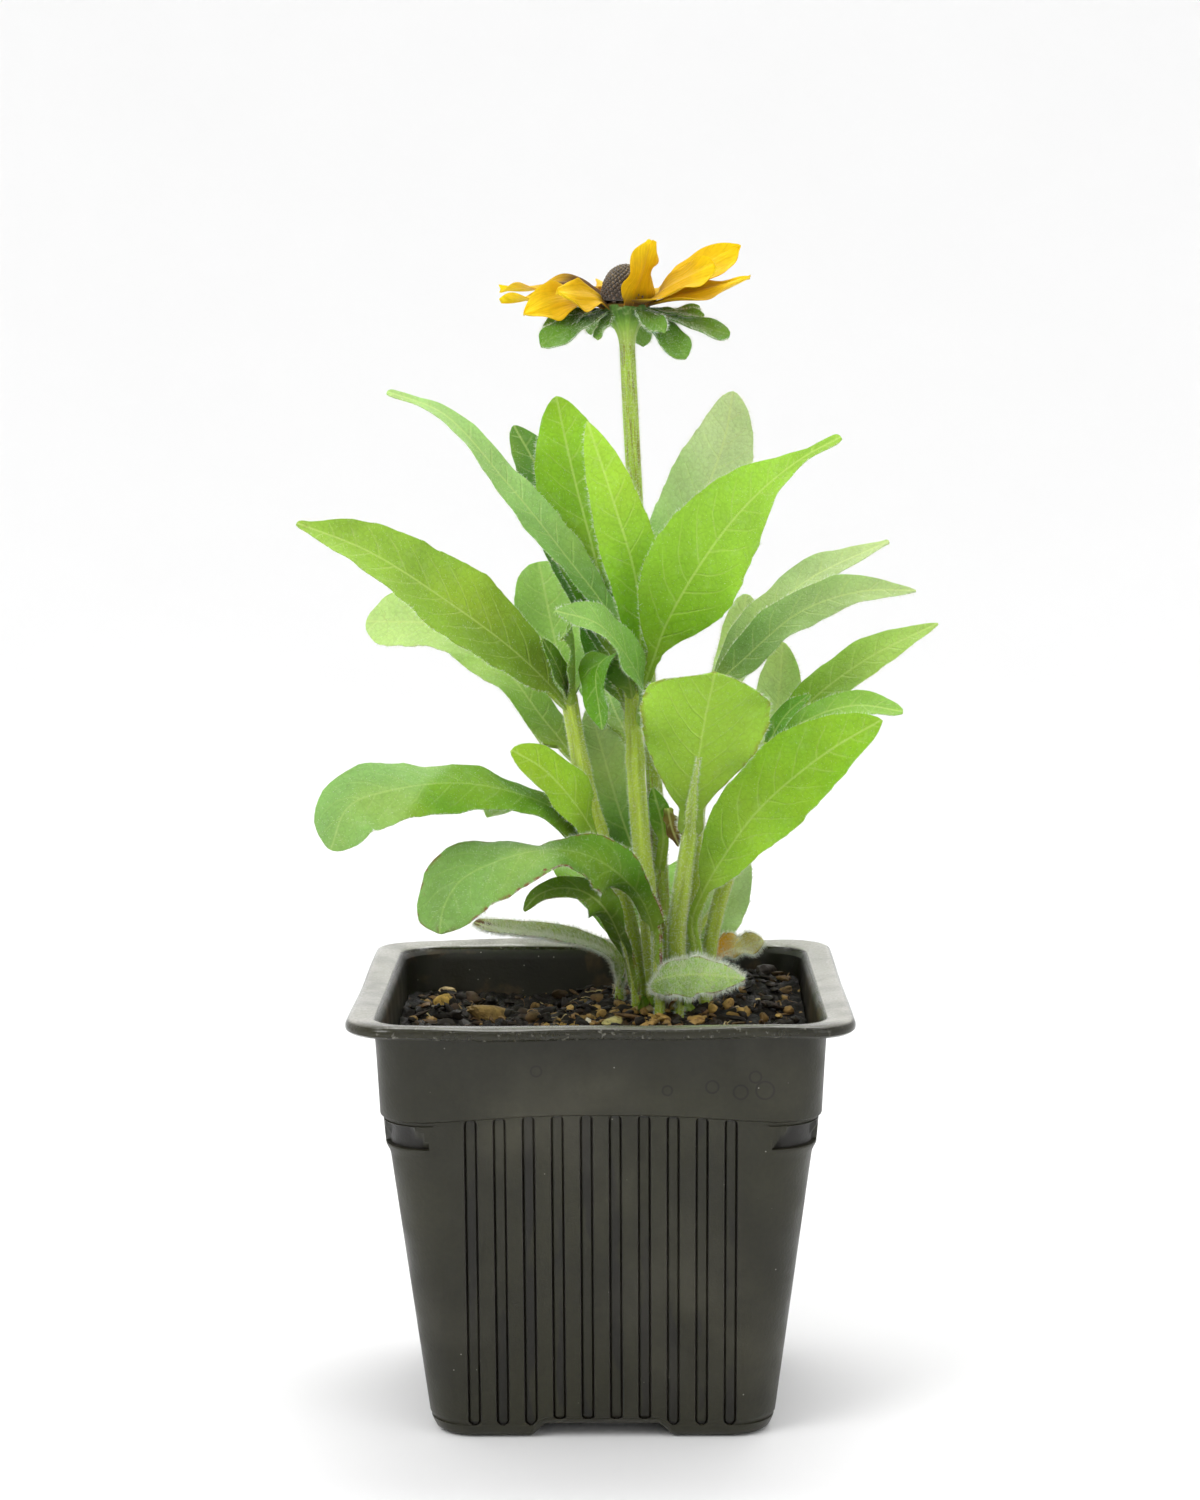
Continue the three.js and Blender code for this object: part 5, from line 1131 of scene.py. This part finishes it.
def make_cone():
    """The dark cone: a dome set with tightly spiralled disc florets."""
    radius, height, base, count = 5.3, 9.9, 1.9, 300
    outline = [[radius * math.cos(a) if a < 1.5 else 0.25, base + (height - base) * math.sin(a) ** 0.85]
               for a in np.linspace(0, math.pi / 2, 16)]
    forms = [turned([[radius - 0.6, base - 0.1]] + outline, 48, 0, (44, 32, 20))]
    random = np.random.default_rng(8)
    k = np.arange(count)
    up = (k + 0.5) / count
    turn = k * GOLDEN_ANGLE
    rise = np.arcsin(up ** 1.02)
    normal = np.stack([np.cos(turn) * np.cos(rise), np.sin(turn) * np.cos(rise), np.sin(rise)], -1)
    spot = HEAD + np.stack([radius * np.cos(rise) * np.cos(turn), radius * np.cos(rise) * np.sin(turn),
                            base + (height - base) * np.sin(rise) ** 0.85], -1)
    first = unit(np.cross(normal, [0.1, 0.2, 1.0]))
    second = np.cross(normal, first)
    profile = [(-0.4, 0.36), (0.0, 0.44), (0.28, 0.4), (0.44, 0.2), (0.48, 0.05)]
    angle = circle(6)
    for i in range(count):
        size = random.uniform(0.9, 1.1) * (1 - 0.25 * up[i])
        rings = np.array([spot[i] + normal[i] * h * size + size * r * (first[i] * np.cos(angle)[:, None]
                          + second[i] * np.sin(angle)[:, None]) for h, r in profile])
        # Painted light and shade: the florets grow lighter towards the top of the dome, and each is dark at
        # its foot between its neighbours and lightest at its tip.
        light = smooth(0.1, 0.9, up[i])
        low = paint(60, 44, 28) * (1 - light) + paint(96, 84, 62) * light
        tone = np.array([low * 0.5, low * 0.8, low * 1.1, low * 1.6, low * 1.7]) * random.uniform(0.85, 1.2)
        forms.append(tube(rings, 0, tone=np.repeat(tone[:, None], 6, axis=1)))
    make_piece("disc_florets", forms, [CONE], ["cone"], 60.0)


make_cone()


# Pot

LIP_HALF = 56
BAND_TOP_HALF = 50
BAND_BOTTOM_Z = 75.3
WALL_TOP_HALF = 48.1
WALL_FOOT_HALF = 39.2
WALL_FOOT_Z = 4.5
BASE_HALF = 36.3
CORNER_RADIUS = 10.5
FLOOR = 1.8
GROOVE_PITCH = 6.35
GROOVES = (np.arange(10) - 4.5) * GROOVE_PITCH
GROOVE_WIDTH = 2.6
GROOVE_DEPTH = 0.9
GROOVE_STEPS = (-1.24, -1.1, -0.92, -0.7, 0, 0.7, 0.92, 1.1, 1.24)
SIDE_REACH = 30.6
BAND_BOW = 0.8
POCKET_FOOT_Z = 68.2
POCKET_END, POCKET_LEAN = 37.4, 0.75
RIB_X, RIB_SIDES = 47.7, (6, 10)
DRAIN_AWAY, DRAIN_RADIUS = 26.8, 3


def wall_half(z):
    spread_out = WALL_TOP_HALF - WALL_FOOT_HALF
    return WALL_FOOT_HALF + spread_out * (z - WALL_FOOT_Z) / (BAND_BOTTOM_Z - WALL_FOOT_Z)


def arch(x, y):
    """Height of the four raised arches under the pot."""
    x, y = np.abs(x), np.abs(y)
    across, along = np.minimum(x, y), np.maximum(x, y)
    return 2.8 * (1 - smooth(12.6, 16.2, across)) * smooth(16.8, 18.2, along)


def square_ring(half, radius, z, groove=0.0, swell=0.0, pocket=0.0):
    """Points round the pot at one height, and for each a share that sets painted shade: high in the creases
    at the groove edges and in the corner pockets, a quarter on the groove floors.
    """
    def edge(x):
        over = np.clip(np.abs(x) - (half - radius), 0, radius)
        return half - radius + np.sqrt(np.maximum(radius ** 2 - over ** 2, 0))

    width = max(groove, 0.35) * GROOVE_WIDTH / 2
    xs, inside, crease_shade = [-SIDE_REACH], [0], [0]
    for centre in GROOVES:
        xs += [centre + width * step for step in GROOVE_STEPS]
        inside += [0, 0, 1, 0.78, 0.78, 0.78, 1, 0, 0]
        crease_shade += [0, 1, 1, 0.25, 0.25, 0.25, 1, 1, 0] if groove > 0.93 else [0] + [1] * 7 + [0]
        if centre < GROOVES[-1]:
            xs.append(centre + GROOVE_PITCH / 2)
            inside.append(0)
            crease_shade.append(0)
    xs, inside, crease_shade = np.array(xs), np.array(inside, float), np.array(crease_shade, float) * (groove > 0)
    outline = edge(xs)
    cut = np.minimum(outline, wall_half(z) - GROOVE_DEPTH)
    depth = inside * (groove > 0)
    y = -(outline * (1 - depth) + cut * depth)
    dense = np.linspace(0, math.pi / 2, 60)
    flat = np.linspace(SIDE_REACH, half - radius, 30, endpoint=False)
    arc_x, arc_y = half - radius + radius * np.sin(dense), -(half - radius) - radius * np.cos(dense)
    if SIDE_REACH > half - radius:
        keep = (arc_x > SIDE_REACH) & (arc_y < -SIDE_REACH)
        path = np.array([[SIDE_REACH, -edge(SIDE_REACH)], *np.stack([arc_x, arc_y], -1)[keep],
                         [edge(SIDE_REACH), -SIDE_REACH]])
    else:
        path = np.vstack([np.stack([flat, np.full(30, -half)], -1), np.stack([arc_x, arc_y], -1),
                          np.stack([np.full(30, half), -flat[::-1]], -1)])
    run = np.concatenate([[0], np.cumsum(np.linalg.norm(np.diff(path, axis=0), axis=1))])
    at = np.linspace(0, run[-1], 31)[:-1]
    corner = np.stack([np.interp(at, run, path[:, 0]), np.interp(at, run, path[:, 1])], -1)
    least = np.minimum(np.abs(corner[:, 0]), np.abs(corner[:, 1]))
    inner_end = POCKET_END + POCKET_LEAN * (z - POCKET_FOOT_Z)
    push = swell * smooth(35.6, 37.2, least) - pocket * smooth(inner_end, inner_end + 0.7, least)
    corner = corner + unit(corner - np.array([1, -1]) * (half - radius) * 0.9) * push[:, None]
    quarter = np.vstack([np.stack([xs, y], -1), corner])
    # The corner pockets get painted shade as well as their recess.
    share = np.concatenate([crease_shade, 0.8 * (pocket > 0.5) * smooth(inner_end, inner_end + 0.5, least)])
    turns = [np.array([[0, -1], [1, 0]]), np.array([[-1, 0], [0, -1]]), np.array([[0, 1], [-1, 0]])]
    ring = np.vstack([quarter] + [quarter @ t.T for t in turns])
    beside = np.minimum(np.abs(ring[:, 0]), np.abs(ring[:, 1]))
    bow = BAND_BOW * (1 - 2 * smooth(8, 42, beside)) * smooth(73.2, 74.2, z) * smooth(80, 75.7, z)
    return np.column_stack([ring, z + bow]), np.tile(share, 4)


def lip_sway(ring, sway):
    x, y = ring[:, 0], ring[:, 1]
    ring[:, 2] += sway * (np.sin(x * 0.11 + 0.7) * np.cos(y * 0.09 + x * 0.05) + np.maximum(0, y) * 0.02)
    return ring


def make_pot():
    rings, groove, inner, worn, bloom = [], [], [], [], []

    def add(ring, depth=0.0, inside=0.0, wear=0.0, dust_and_reflection=0.0):
        rings.append(ring)
        groove.append(np.broadcast_to(depth, len(ring)))
        inner.append(np.full(len(ring), inside))
        worn.append(np.full(len(ring), wear))
        bloom.append(np.broadcast_to(dust_and_reflection, len(ring)))

    # underside, from the middle out
    foot = square_ring(BASE_HALF, CORNER_RADIUS - 3, 0)[0]
    for share in (0.04, 0.12, 0.22, 0.32, 0.42, 0.45, 0.475, 0.5, 0.53, 0.6, 0.7, 0.8, 0.9, 0.97):
        ring = foot * [share, share, 1]
        ring[:, 2] = arch(ring[:, 0], ring[:, 1])
        add(ring)

    # outside, from the foot up
    def outer(z, half, radius, **extra):
        ring, depth = square_ring(half, radius, z, **extra)
        if z < 6:
            ring[:, 2] += arch(ring[:, 0], ring[:, 1]) * (1 - z / 6)
        return ring, depth

    add(*outer(0, BASE_HALF, CORNER_RADIUS - 3))
    for z, half, radius in ((0.2, 37.0, 8.2), (0.7, 37.7, 8.8), (1.5, 38.2, 9.4), (2.4, 38.6, 9.8),
                            (2.95, 38.8, 10)):
        add(*outer(z, half, radius))
    for z in (3.0, 3.15, 3.5, 4.0, 4.5, 5.5, 8, 14, 20, 26, 32, 38, 44, 50, 56, 61, 65):
        half = wall_half(z) - (0.25 if z < 4 else 0.0)
        width = math.sqrt(max(1 - (max(4.3 - z, 0) / 1.3) ** 2, 0.02))
        add(*outer(z, half, CORNER_RADIUS, groove=width))
    for z, swell, pocket in ((66, 0.1, 0), (67, 0.5, 0), (67.6, 0.7, 0), (67.95, 0.7, 0.1),
                             (POCKET_FOOT_Z, 0.65, 1.1),
                             (70, 0.6, 1.2), (72, 0.5, 1.1), (73, 0.45, 1.0), (73.2, 0.42, 0),
                             (73.7, 0.4, 0)):
        add(*outer(z, wall_half(z), CORNER_RADIUS, groove=1.0, swell=swell, pocket=pocket))
    for z, width in ((74.2, 1.0), (74.6, 0.85), (74.9, 0.55)):
        add(*outer(z, wall_half(z), CORNER_RADIUS, groove=width))
    for z, half in ((75.0, 48.15), (75.15, 48.6), (75.3, 48.85), (75.6, 48.95), (80, 49.2), (86, 49.5),
                    (91, 49.8),
                    (93.4, BAND_TOP_HALF), (94.2, 50.15)):
        add(*outer(z, half, CORNER_RADIUS))

    # the lip, over its edge and down inside
    lip = [(51, 94.75, 0.2, 0), (52.4, 94.85, 0.3, 0), (54, 94.75, 0.3, 0), (54.5, 94.3, 0.35, 0.2),
           (54.8, 94.0, 0.4, 0.6),
           (55.4, 94.1, 0.4, 1), (55.9, 94.6, 0.4, 1), (LIP_HALF, 95.2, 0.4, 1), (55.9, 95.8, 0.4, 1),
           (55.6, 96.3, 0.4, 1),
           (55, 96.65, 0.4, 1), (54.2, 96.75, 0.4, 0.6), (53.4, 96.72, 0.3, 0.4), (52, 96.6, 0.25, 0.4),
           (50.8, 96.45, 0.15, 0.6), (50, 96.25, 0.1, 1), (49.7, 95.9, 0.1, 1)]
    for half, z, sway, wear in lip:
        ring = square_ring(half, CORNER_RADIUS + np.interp(half, [BAND_TOP_HALF, LIP_HALF], [-1, 1.5]),
                           z)[0]
        # The lip's top gets pale dust and painted reflection, less of both along the front.
        top = float(z > 96.2 and half < 55.4)
        dust_and_reflection = top * (0.35 + 0.65 * smooth(-52, -46, ring[:, 1]))
        add(lip_sway(ring, sway), wear=wear * 0.6 + 0.4, dust_and_reflection=dust_and_reflection)
    for half, z in ((48.9, 95.2), (48.5, 94.6), (48.4, 93), (48.1, 88), (47.8, 82), (47.45, 76),
                    (46.7, 74.6), (44, 53),
                    (41, 29), (38.2, 7), (37.5, 5), (36.6, 3.2)):
        add(square_ring(half, CORNER_RADIUS - 1.5, z)[0], inside=1.0)
    last = square_ring(35.6, CORNER_RADIUS - 3, FLOOR)[0]
    for share in (1.0, 0.9, 0.75, 0.55, 0.35, 0.12, 0.03):
        ring = last * [share, share, 1]
        ring[:, 2] = FLOOR + arch(ring[:, 0], ring[:, 1])
        add(ring, inside=1.0)

    body = tube(np.array(rings), 0, groove=np.array(groove), inner=np.array(inner), worn=np.array(worn),
                bloom=np.array(bloom))
    rib_rings = []
    for z, x, pad in ((26.6, 46.2, 0.9), (26.9, 47.0, 0.4), (27.6, 47.5, 0.1), (28.6, RIB_X, 0),
                      (50, RIB_X, 0), (71.3, RIB_X, 0)):
        y0, y1 = RIB_SIDES[0] + pad, RIB_SIDES[1] - pad
        back = wall_half(z) - 0.6
        rib_rings.append([[back, y0, z], [x - 0.3, y0, z], [x, y0 + 0.3, z],
                          [x, y1 - 0.3, z], [x - 0.3, y1, z], [back, y1, z]])
    rib = tube(np.array(rib_rings), 0, worn=np.full((len(rib_rings), 6), 0.3))
    return body, rib


def drill(piece, cutters):
    """Cuts the cutters out of a piece and keeps the result as plain mesh."""
    tool = make_piece("drill_tool", cutters, [POT])
    step = piece.modifiers.new("holes", "BOOLEAN")
    step.object, step.operation, step.solver = tool, "DIFFERENCE", "EXACT"
    ready = bpy.data.meshes.new_from_object(piece.evaluated_get(bpy.context.evaluated_depsgraph_get()))
    piece.modifiers.clear()
    piece.data = ready
    bpy.data.objects.remove(tool)


drains = []
for x, y in ((0, -DRAIN_AWAY), (DRAIN_AWAY, 0), (0, DRAIN_AWAY), (-DRAIN_AWAY, 0)):
    turn = circle(32)
    x, y = x + DRAIN_RADIUS * np.cos(turn), y + DRAIN_RADIUS * np.sin(turn)
    drains.append(tube(np.array([np.stack([x, y, np.full(32, z)], -1) for z in (-2.0, 8.0)])))
pot = make_piece("nursery_pot", make_pot(), [POT], ["pot"], 32.0)
drill(pot, drains)


# Soil

CROWN = (15, 13)
SOIL_HALF = 47.7
SOIL_CORNER = 9.0
SOIL_FOOT_Z = 2.4
COARSE, MEDIUM, FINE, TINY = Field(1, 7.0), Field(2, 2.6), Field(3, 1.3), Field(4, 0.8)


def soil_height(x, y):
    away = np.hypot(x - CROWN[0], y - CROWN[1])
    mound = 3.2 * np.exp(-(away / 26) ** 2)
    hollow = -4 * np.exp(-((x + 18) ** 2 + (y - 34) ** 2) / 260)
    lumps = 0.5 * np.sin(x * 0.42 + 1) * np.cos(y * 0.37) + 0.35 * np.sin(x * 0.9 + y * 0.7)
    heap = 4.2 * np.exp(-((x - 36) ** 2 + (y - 38) ** 2) / 420)
    return 86 + mound + hollow + lumps + heap


def soil_top(x, y):
    rough = 0.7 * COARSE(x, y) + 0.75 * np.abs(MEDIUM(x, y)) + 0.45 * FINE(x, y) + 0.3 * TINY(x, y)
    return soil_height(x, y) + rough - 0.3


def make_soil():
    cells = 150
    u = np.linspace(-1, 1, cells)
    x, y = np.meshgrid(u, u)
    half, radius = SOIL_HALF, SOIL_CORNER
    px, py = np.abs(x) * half, np.abs(y) * half
    q = np.stack([px - (half - radius), py - (half - radius)], -1) / radius
    both = (q > 0).all(-1)
    pull = np.where(both, q.max(-1) / np.maximum(np.linalg.norm(q, axis=-1), 1e-9), 1)
    px = np.where(both, half - radius + q[..., 0] * pull * radius, px)
    py = np.where(both, half - radius + q[..., 1] * pull * radius, py)
    x, y = np.sign(x) * px, np.sign(y) * py
    top = np.stack([x, y, soil_top(x, y)], -1).reshape(-1, 3)
    edge = np.concatenate([np.arange(cells), np.arange(1, cells) * cells + cells - 1,
                           cells * cells - 2 - np.arange(cells - 1),
                           (cells - 2 - np.arange(cells - 2)) * cells])
    rim = top[edge]
    skirt = [top]
    for z, size in ((82, 47.5), (76, 46.9), (74.4, 46.1), (40, 41.6), (6, 37.4),
                    (SOIL_FOOT_Z, 36.0)):
        ring = rim * [size / half, size / half, 0] + [0, 0, z]
        if z < 10:
            ring[:, 2] += arch(ring[:, 0], ring[:, 1])
        skirt.append(ring)
    for size in (30, 22, 18.4, 16.4, 8):
        ring = rim * [size / half, size / half, 0]
        ring[:, 2] = SOIL_FOOT_Z + arch(ring[:, 0], ring[:, 1])
        skirt.append(ring)
    skirt.append(np.array([[0, 0, SOIL_FOOT_Z]]))
    points = np.vstack(skirt)
    count, start = len(edge), cells * cells
    k = np.arange(count)
    n = (k + 1) % count
    faces = [grid_faces(cells, cells), np.stack([edge[k], start + k, start + n, edge[n]], -1)]
    for r in range(len(skirt) - 3):
        a = start + r * count
        faces.append(np.stack([a + k, a + count + k, a + count + n, a + n], -1))
    a = start + (len(skirt) - 3) * count
    faces.append(np.stack([a + k, np.full(count, len(points) - 1), a + n], -1))
    make_piece("compost", [form(points, faces)], [SOIL], ["soil"], 80.0)


make_soil()


def ball(detail):
    """Points and faces of a round body of triangles."""
    made = bmesh.new()
    bmesh.ops.create_icosphere(made, subdivisions=detail, radius=1)
    points = np.array([v.co[:] for v in made.verts])
    faces = np.array([[v.index for v in f.verts] for f in made.faces])
    made.free()
    return points, faces


BALLS = {detail: ball(detail) for detail in (1, 2, 3)}
LOOSE_HALF = 47.2


def kept_in(at, reach):
    """The place moved inwards so far that nothing within reach of it touches the pot's wall."""
    at = np.clip(at, reach - LOOSE_HALF, LOOSE_HALF - reach)
    over = np.abs(at) - (LOOSE_HALF - SOIL_CORNER)
    room, far = max(SOIL_CORNER - reach, 0.1), np.linalg.norm(np.maximum(over, 0))
    if (over > 0).all() and far > room:
        at = np.sign(at) * (LOOSE_HALF - SOIL_CORNER + over * room / far)
    return at


def stone(at, size, tone, seed, detail=2, sink=0.25, bumps=0.28, tilt=0.3, rough=0.1):
    """An uneven lump that lies on the soil. Size gives its three half lengths."""
    random = np.random.default_rng(seed)
    points, faces = BALLS[detail]
    points = points * (1 + random.uniform(-rough, rough, (len(points), 1)))
    for _ in range(3):
        way = unit(random.normal(size=3))
        swell = np.sin(points @ way * random.uniform(1.5, 4) + random.uniform(0, 6))
        points = points * (1 + bumps * swell)[:, None] ** 0.7
    points = points * np.array(size)
    turn, lean = random.uniform(0, 2 * math.pi), random.uniform(-tilt, tilt)
    spin = np.array(Matrix.Rotation(turn, 3, "Z") @ Matrix.Rotation(lean, 3, "Y"))
    points = points @ spin.T
    at = kept_in(np.array(at, float), np.hypot(points[:, 0], points[:, 1]).max())
    z = float(soil_top(np.array(at[0]), np.array(at[1]))) - points[:, 2].min() * (1 - 2 * sink)
    shade = np.array(paint(*tone)) * random.uniform(0.8, 1.2)
    return form(points + [at[0], at[1], z], [faces], 0, tone=np.broadcast_to(shade, points.shape))


TAN, STRAW, PALE, DARK, BARK = (158, 128, 66), (184, 166, 112), (206, 200, 178), (27, 22, 14), (60, 45, 27)
NAMED_STONES = [
    # place, half lengths and colour of the lumps that stand out
    ((-39.3, 25.4), (2.5, 2.3, 2.2), (166, 136, 66)),
    ((-28, 10), (6.0, 3.4, 2.3), (128, 104, 56)),
    ((-16.4, 4), (2.6, 1.6, 1.2), (96, 76, 44)),
    ((-8.3, 18.4), (1.5, 1.3, 1.1), (176, 144, 84)),
    ((-1.7, 9), (1.9, 1.4, 1.3), (170, 138, 78)),
    ((4.2, 11), (1.6, 1.3, 1.2), (152, 122, 68)),
    ((9.8, 4.5), (3.4, 1.1, 0.9), STRAW),
    ((2.6, -5.9), (4.0, 1.7, 1.3), (186, 176, 112)),
    ((26, 4.5), (1.4, 1.2, 1.1), TAN),
    ((29.4, 8), (1.6, 1.3, 1.2), (164, 132, 74)),
    ((32.2, 2), (1.8, 1.4, 1.2), TAN),
    ((44.2, 8), (1.9, 1.4, 1.2), (128, 100, 56)),
    ((32.4, 29.2), (1.1, 0.9, 0.9), PALE),
    ((37.8, 19), (1.8, 0.9, 0.7), STRAW),
    ((-38.5, 44), (2.2, 1.2, 0.7), (170, 150, 110)),
]


def spots(count, seed):
    """Places on the soil that keep clear of every stem."""
    reach, clear = 45.5, 3.4
    random = np.random.default_rng(seed)
    feet = [s["knots"][0][:2] for s in (LEFT_STEM, MIDDLE_STEM, FRONT_STEM, RIGHT_STEM, OUTER_STEM)]
    feet += [FLOWER_KNOTS[0][:2]] + [s["foot"] for s in BASAL_LEAVES.values()] + [DEAD_LEAF["foot"]]
    found = []
    while len(found) < count:
        at = random.uniform(-reach, reach, 2)
        if all(math.hypot(at[0] - f[0], at[1] - f[1]) > clear for f in feet):
            found.append(at)
    return found


def make_grains():
    random = np.random.default_rng(21)
    forms = [stone(at, size, tone, 500 + i, 3, 0.2, 0.22, rough=0.06) for i,
             (at, size, tone) in enumerate(NAMED_STONES)]
    tones = [DARK, DARK, DARK, (36, 27, 17), DARK, (32, 25, 16), BARK, (54, 40, 25), (96, 74, 44),
             (140, 112, 62)]
    for i, at in enumerate(spots(1000, 22)):
        size = random.uniform(0.35, 1.0) + 0.9 * random.uniform() ** 4
        shape = size * random.uniform([0.9, 0.6, 0.45], [1.6, 1.0, 0.9])
        pick = tones[min(int(random.uniform() ** 1.5 * len(tones)), len(tones) - 1)]
        forms.append(stone(at, shape, pick, 600 + i, 1 if size < 0.8 else 2, 0.2))
    for i, at in enumerate(spots(120, 23)):
        shape = (random.uniform(1.2, 3.4), random.uniform(0.5, 1.1), random.uniform(0.3, 0.7))
        shade = [DARK, (20, 16, 11), DARK, BARK, DARK, (40, 30, 20), (92, 70, 42)][i % 7]
        forms.append(stone(at, shape, shade, 1700 + i, 2, 0.1, 0.3, 0.5))
    for i in range(150):
        at = random.normal([9, -3], [13, 9])
        if np.abs(at).max() < 45:
            size = random.uniform(0.35, 0.8) + 0.7 * random.uniform() ** 3
            shape = (size * random.uniform(1, 2), size * 0.95, size * 0.75)
            forms.append(stone(at, shape, [TAN, (120, 92, 52), (146, 118, 66)][i % 3], 1900 + i, 2, 0.2))
    for i, at in enumerate(spots(14, 24)):
        size = random.uniform(0.4, 0.8)
        forms.append(stone(at, (size, size * 0.9, size * 0.8), PALE, 2100 + i, 2, 0.2))
    make_piece("soil_grains", forms, [GRAIN], sharp=35.0)


def make_fibres():
    """Root hairs and straw that lie on the soil."""
    random = np.random.default_rng(31)
    forms = []
    angle = circle(5)
    for at in spots(120, 32):
        heading, length = random.uniform(0, 2 * math.pi), random.uniform(3, 11)
        bend, radius = random.uniform(-0.16, 0.16), random.uniform(0.08, 0.22)
        points = [np.array([at[0], at[1]])]
        for _ in range(9):
            points.append(points[-1] + length / 9 * np.array([math.cos(heading), math.sin(heading)]))
            heading += bend * length / 3
        points = np.array([kept_in(p, 0.8) for p in points])
        hump = random.uniform(0, 0.9) * np.sin(np.linspace(0, math.pi, 10))
        z = soil_top(points[:, 0], points[:, 1]) + 0.15 + hump
        knots = np.column_stack([points, z])
        keep = np.concatenate([[True], np.linalg.norm(np.diff(knots, axis=0), axis=1) > 0.05])
        if keep.sum() < 4:
            continue
        line = Line(knots[keep])
        t = np.linspace(0, 1, 14)
        along, up = line.along(t), np.array([0, 0, 1.0])
        first = unit(np.cross(along, up))
        second = np.cross(along, first)
        size = radius * (1 - 0.5 * t)
        way = first[:, None] * np.cos(angle)[:, None] + second[:, None] * np.sin(angle)[:, None]
        rings = line.at(t)[:, None] + size[:, None, None] * way
        tone = paint(*[(150, 122, 80), (186, 168, 122), (96, 74, 48)][int(random.integers(0, 3))])
        forms.append(tube(rings, 0, tone=np.broadcast_to(tone, rings.shape)))
    make_piece("root_fibres", forms, [GRAIN])


make_grains()
make_fibres()


# Camera, light and floor

SHIFT_X, FAR, RISE = 0.2, 736.14, 233.87
PITCH, ROLL, YAW = 0.1123, 0.0045, -0.009
FOCAL_PIXELS, LONG_SIDE = 3208.45, 1500


def place_camera():
    camera = bpy.data.objects.new("camera", bpy.data.cameras.new("camera"))
    bpy.context.scene.collection.objects.link(camera)
    camera.data.sensor_width = 36
    camera.data.lens = 36 * FOCAL_PIXELS / LONG_SIDE
    camera.data.clip_start, camera.data.clip_end = 0.05, 20
    cos_yaw, sin_yaw = math.cos(YAW), math.sin(YAW)
    level = np.array([cos_yaw, -sin_yaw, 0])
    ahead = np.array([sin_yaw * math.cos(PITCH), cos_yaw * math.cos(PITCH), -math.sin(PITCH)])
    above = np.array([sin_yaw * math.sin(PITCH), cos_yaw * math.sin(PITCH), math.cos(PITCH)])
    right = math.cos(ROLL) * level - math.sin(ROLL) * above
    up = math.sin(ROLL) * level + math.cos(ROLL) * above
    place = np.array([-SHIFT_X * cos_yaw - FAR * sin_yaw, SHIFT_X * sin_yaw - FAR * cos_yaw, RISE]) * MM
    rows = [[right[i], up[i], -ahead[i], place[i]] for i in range(3)]
    camera.matrix_world = Matrix(rows + [[0, 0, 0, 1]])
    bpy.context.scene.camera = camera


def lamp(name, place, size, power, target=(0, 0, 0.13)):
    light = bpy.data.lights.new(name, "AREA")
    light.shape, light.size, light.energy = "DISK", size, power
    holder = bpy.data.objects.new(name, light)
    bpy.context.scene.collection.objects.link(holder)
    away = np.array(place) - np.array(target)
    holder.location = place
    holder.rotation_mode = "QUATERNION"
    from_z = np.array(unit(away))
    side = unit(np.cross([0.0, 0.0, 1.0], from_z))
    up = np.cross(from_z, side)
    holder.rotation_quaternion = Matrix([[side[i], up[i], from_z[i]] for i in range(3)]).to_quaternion()


FLAT_RADIUS, BEND_RADIUS, WALL_TOP = 1.6, 1.2, 3.4


def make_stage():
    world = bpy.data.worlds.new("studio")
    world.use_nodes = True
    world.node_tree.nodes["Background"].inputs["Color"].default_value = (1, 1, 1, 1)
    world.node_tree.nodes["Background"].inputs["Strength"].default_value = 0.5
    bpy.context.scene.world = world
    bpy.context.scene.view_settings.view_transform = "Standard"
    lamp("key", (-0.9, -0.9, 1.2), 0.8, 10)
    lamp("fill", (1.1, -1.0, 0.7), 1.0, 3)
    lamp("top", (0.1, 0.5, 1.4), 0.9, 9)

    for k in range(6):
        way = np.array([math.cos(k * math.pi / 3 + 0.5), math.sin(k * math.pi / 3 + 0.5), 0])
        lamp(f"wall_light_{k}", way * 1.1 + [0, 0, 2.1], 1.2, 9.3, way * 2.7 + [0, 0, 0.6])

    # the floor is flat round the pot and turns up into a wall far behind it on every side
    turn = circle(96)
    bend = np.linspace(0, math.pi / 2, 16)
    profile = [(FLAT_RADIUS + BEND_RADIUS * math.sin(a), BEND_RADIUS - BEND_RADIUS * math.cos(a))
               for a in bend]
    profile = [(0.4, 0.0)] + profile + [(FLAT_RADIUS + BEND_RADIUS, WALL_TOP)]
    rings = np.array([[(r * math.cos(a), r * math.sin(a), z) for a in turn] for r, z in profile])
    points = np.vstack([rings.reshape(-1, 3), [[0, 0, 0]]])
    faces = grid_faces(len(profile), len(turn), True)[:, ::-1].tolist()
    faces += [(len(points) - 1, k, (k + 1) % len(turn)) for k in range(len(turn))]
    mesh = bpy.data.meshes.new("floor")
    mesh.from_pydata(points.tolist(), [], faces)
    mesh.shade_smooth()
    floor = bpy.data.objects.new("floor", mesh)
    floor.location = (0, 0, -0.0002)
    bpy.context.scene.collection.objects.link(floor)
    white = Finish("pale_floor", roughness=0.9)
    white.base = white.mix(white.noise(4, 2), (0.86, 0.86, 0.86), (0.84, 0.84, 0.84))
    mesh.materials.append(white.done())


place_camera()
make_stage()
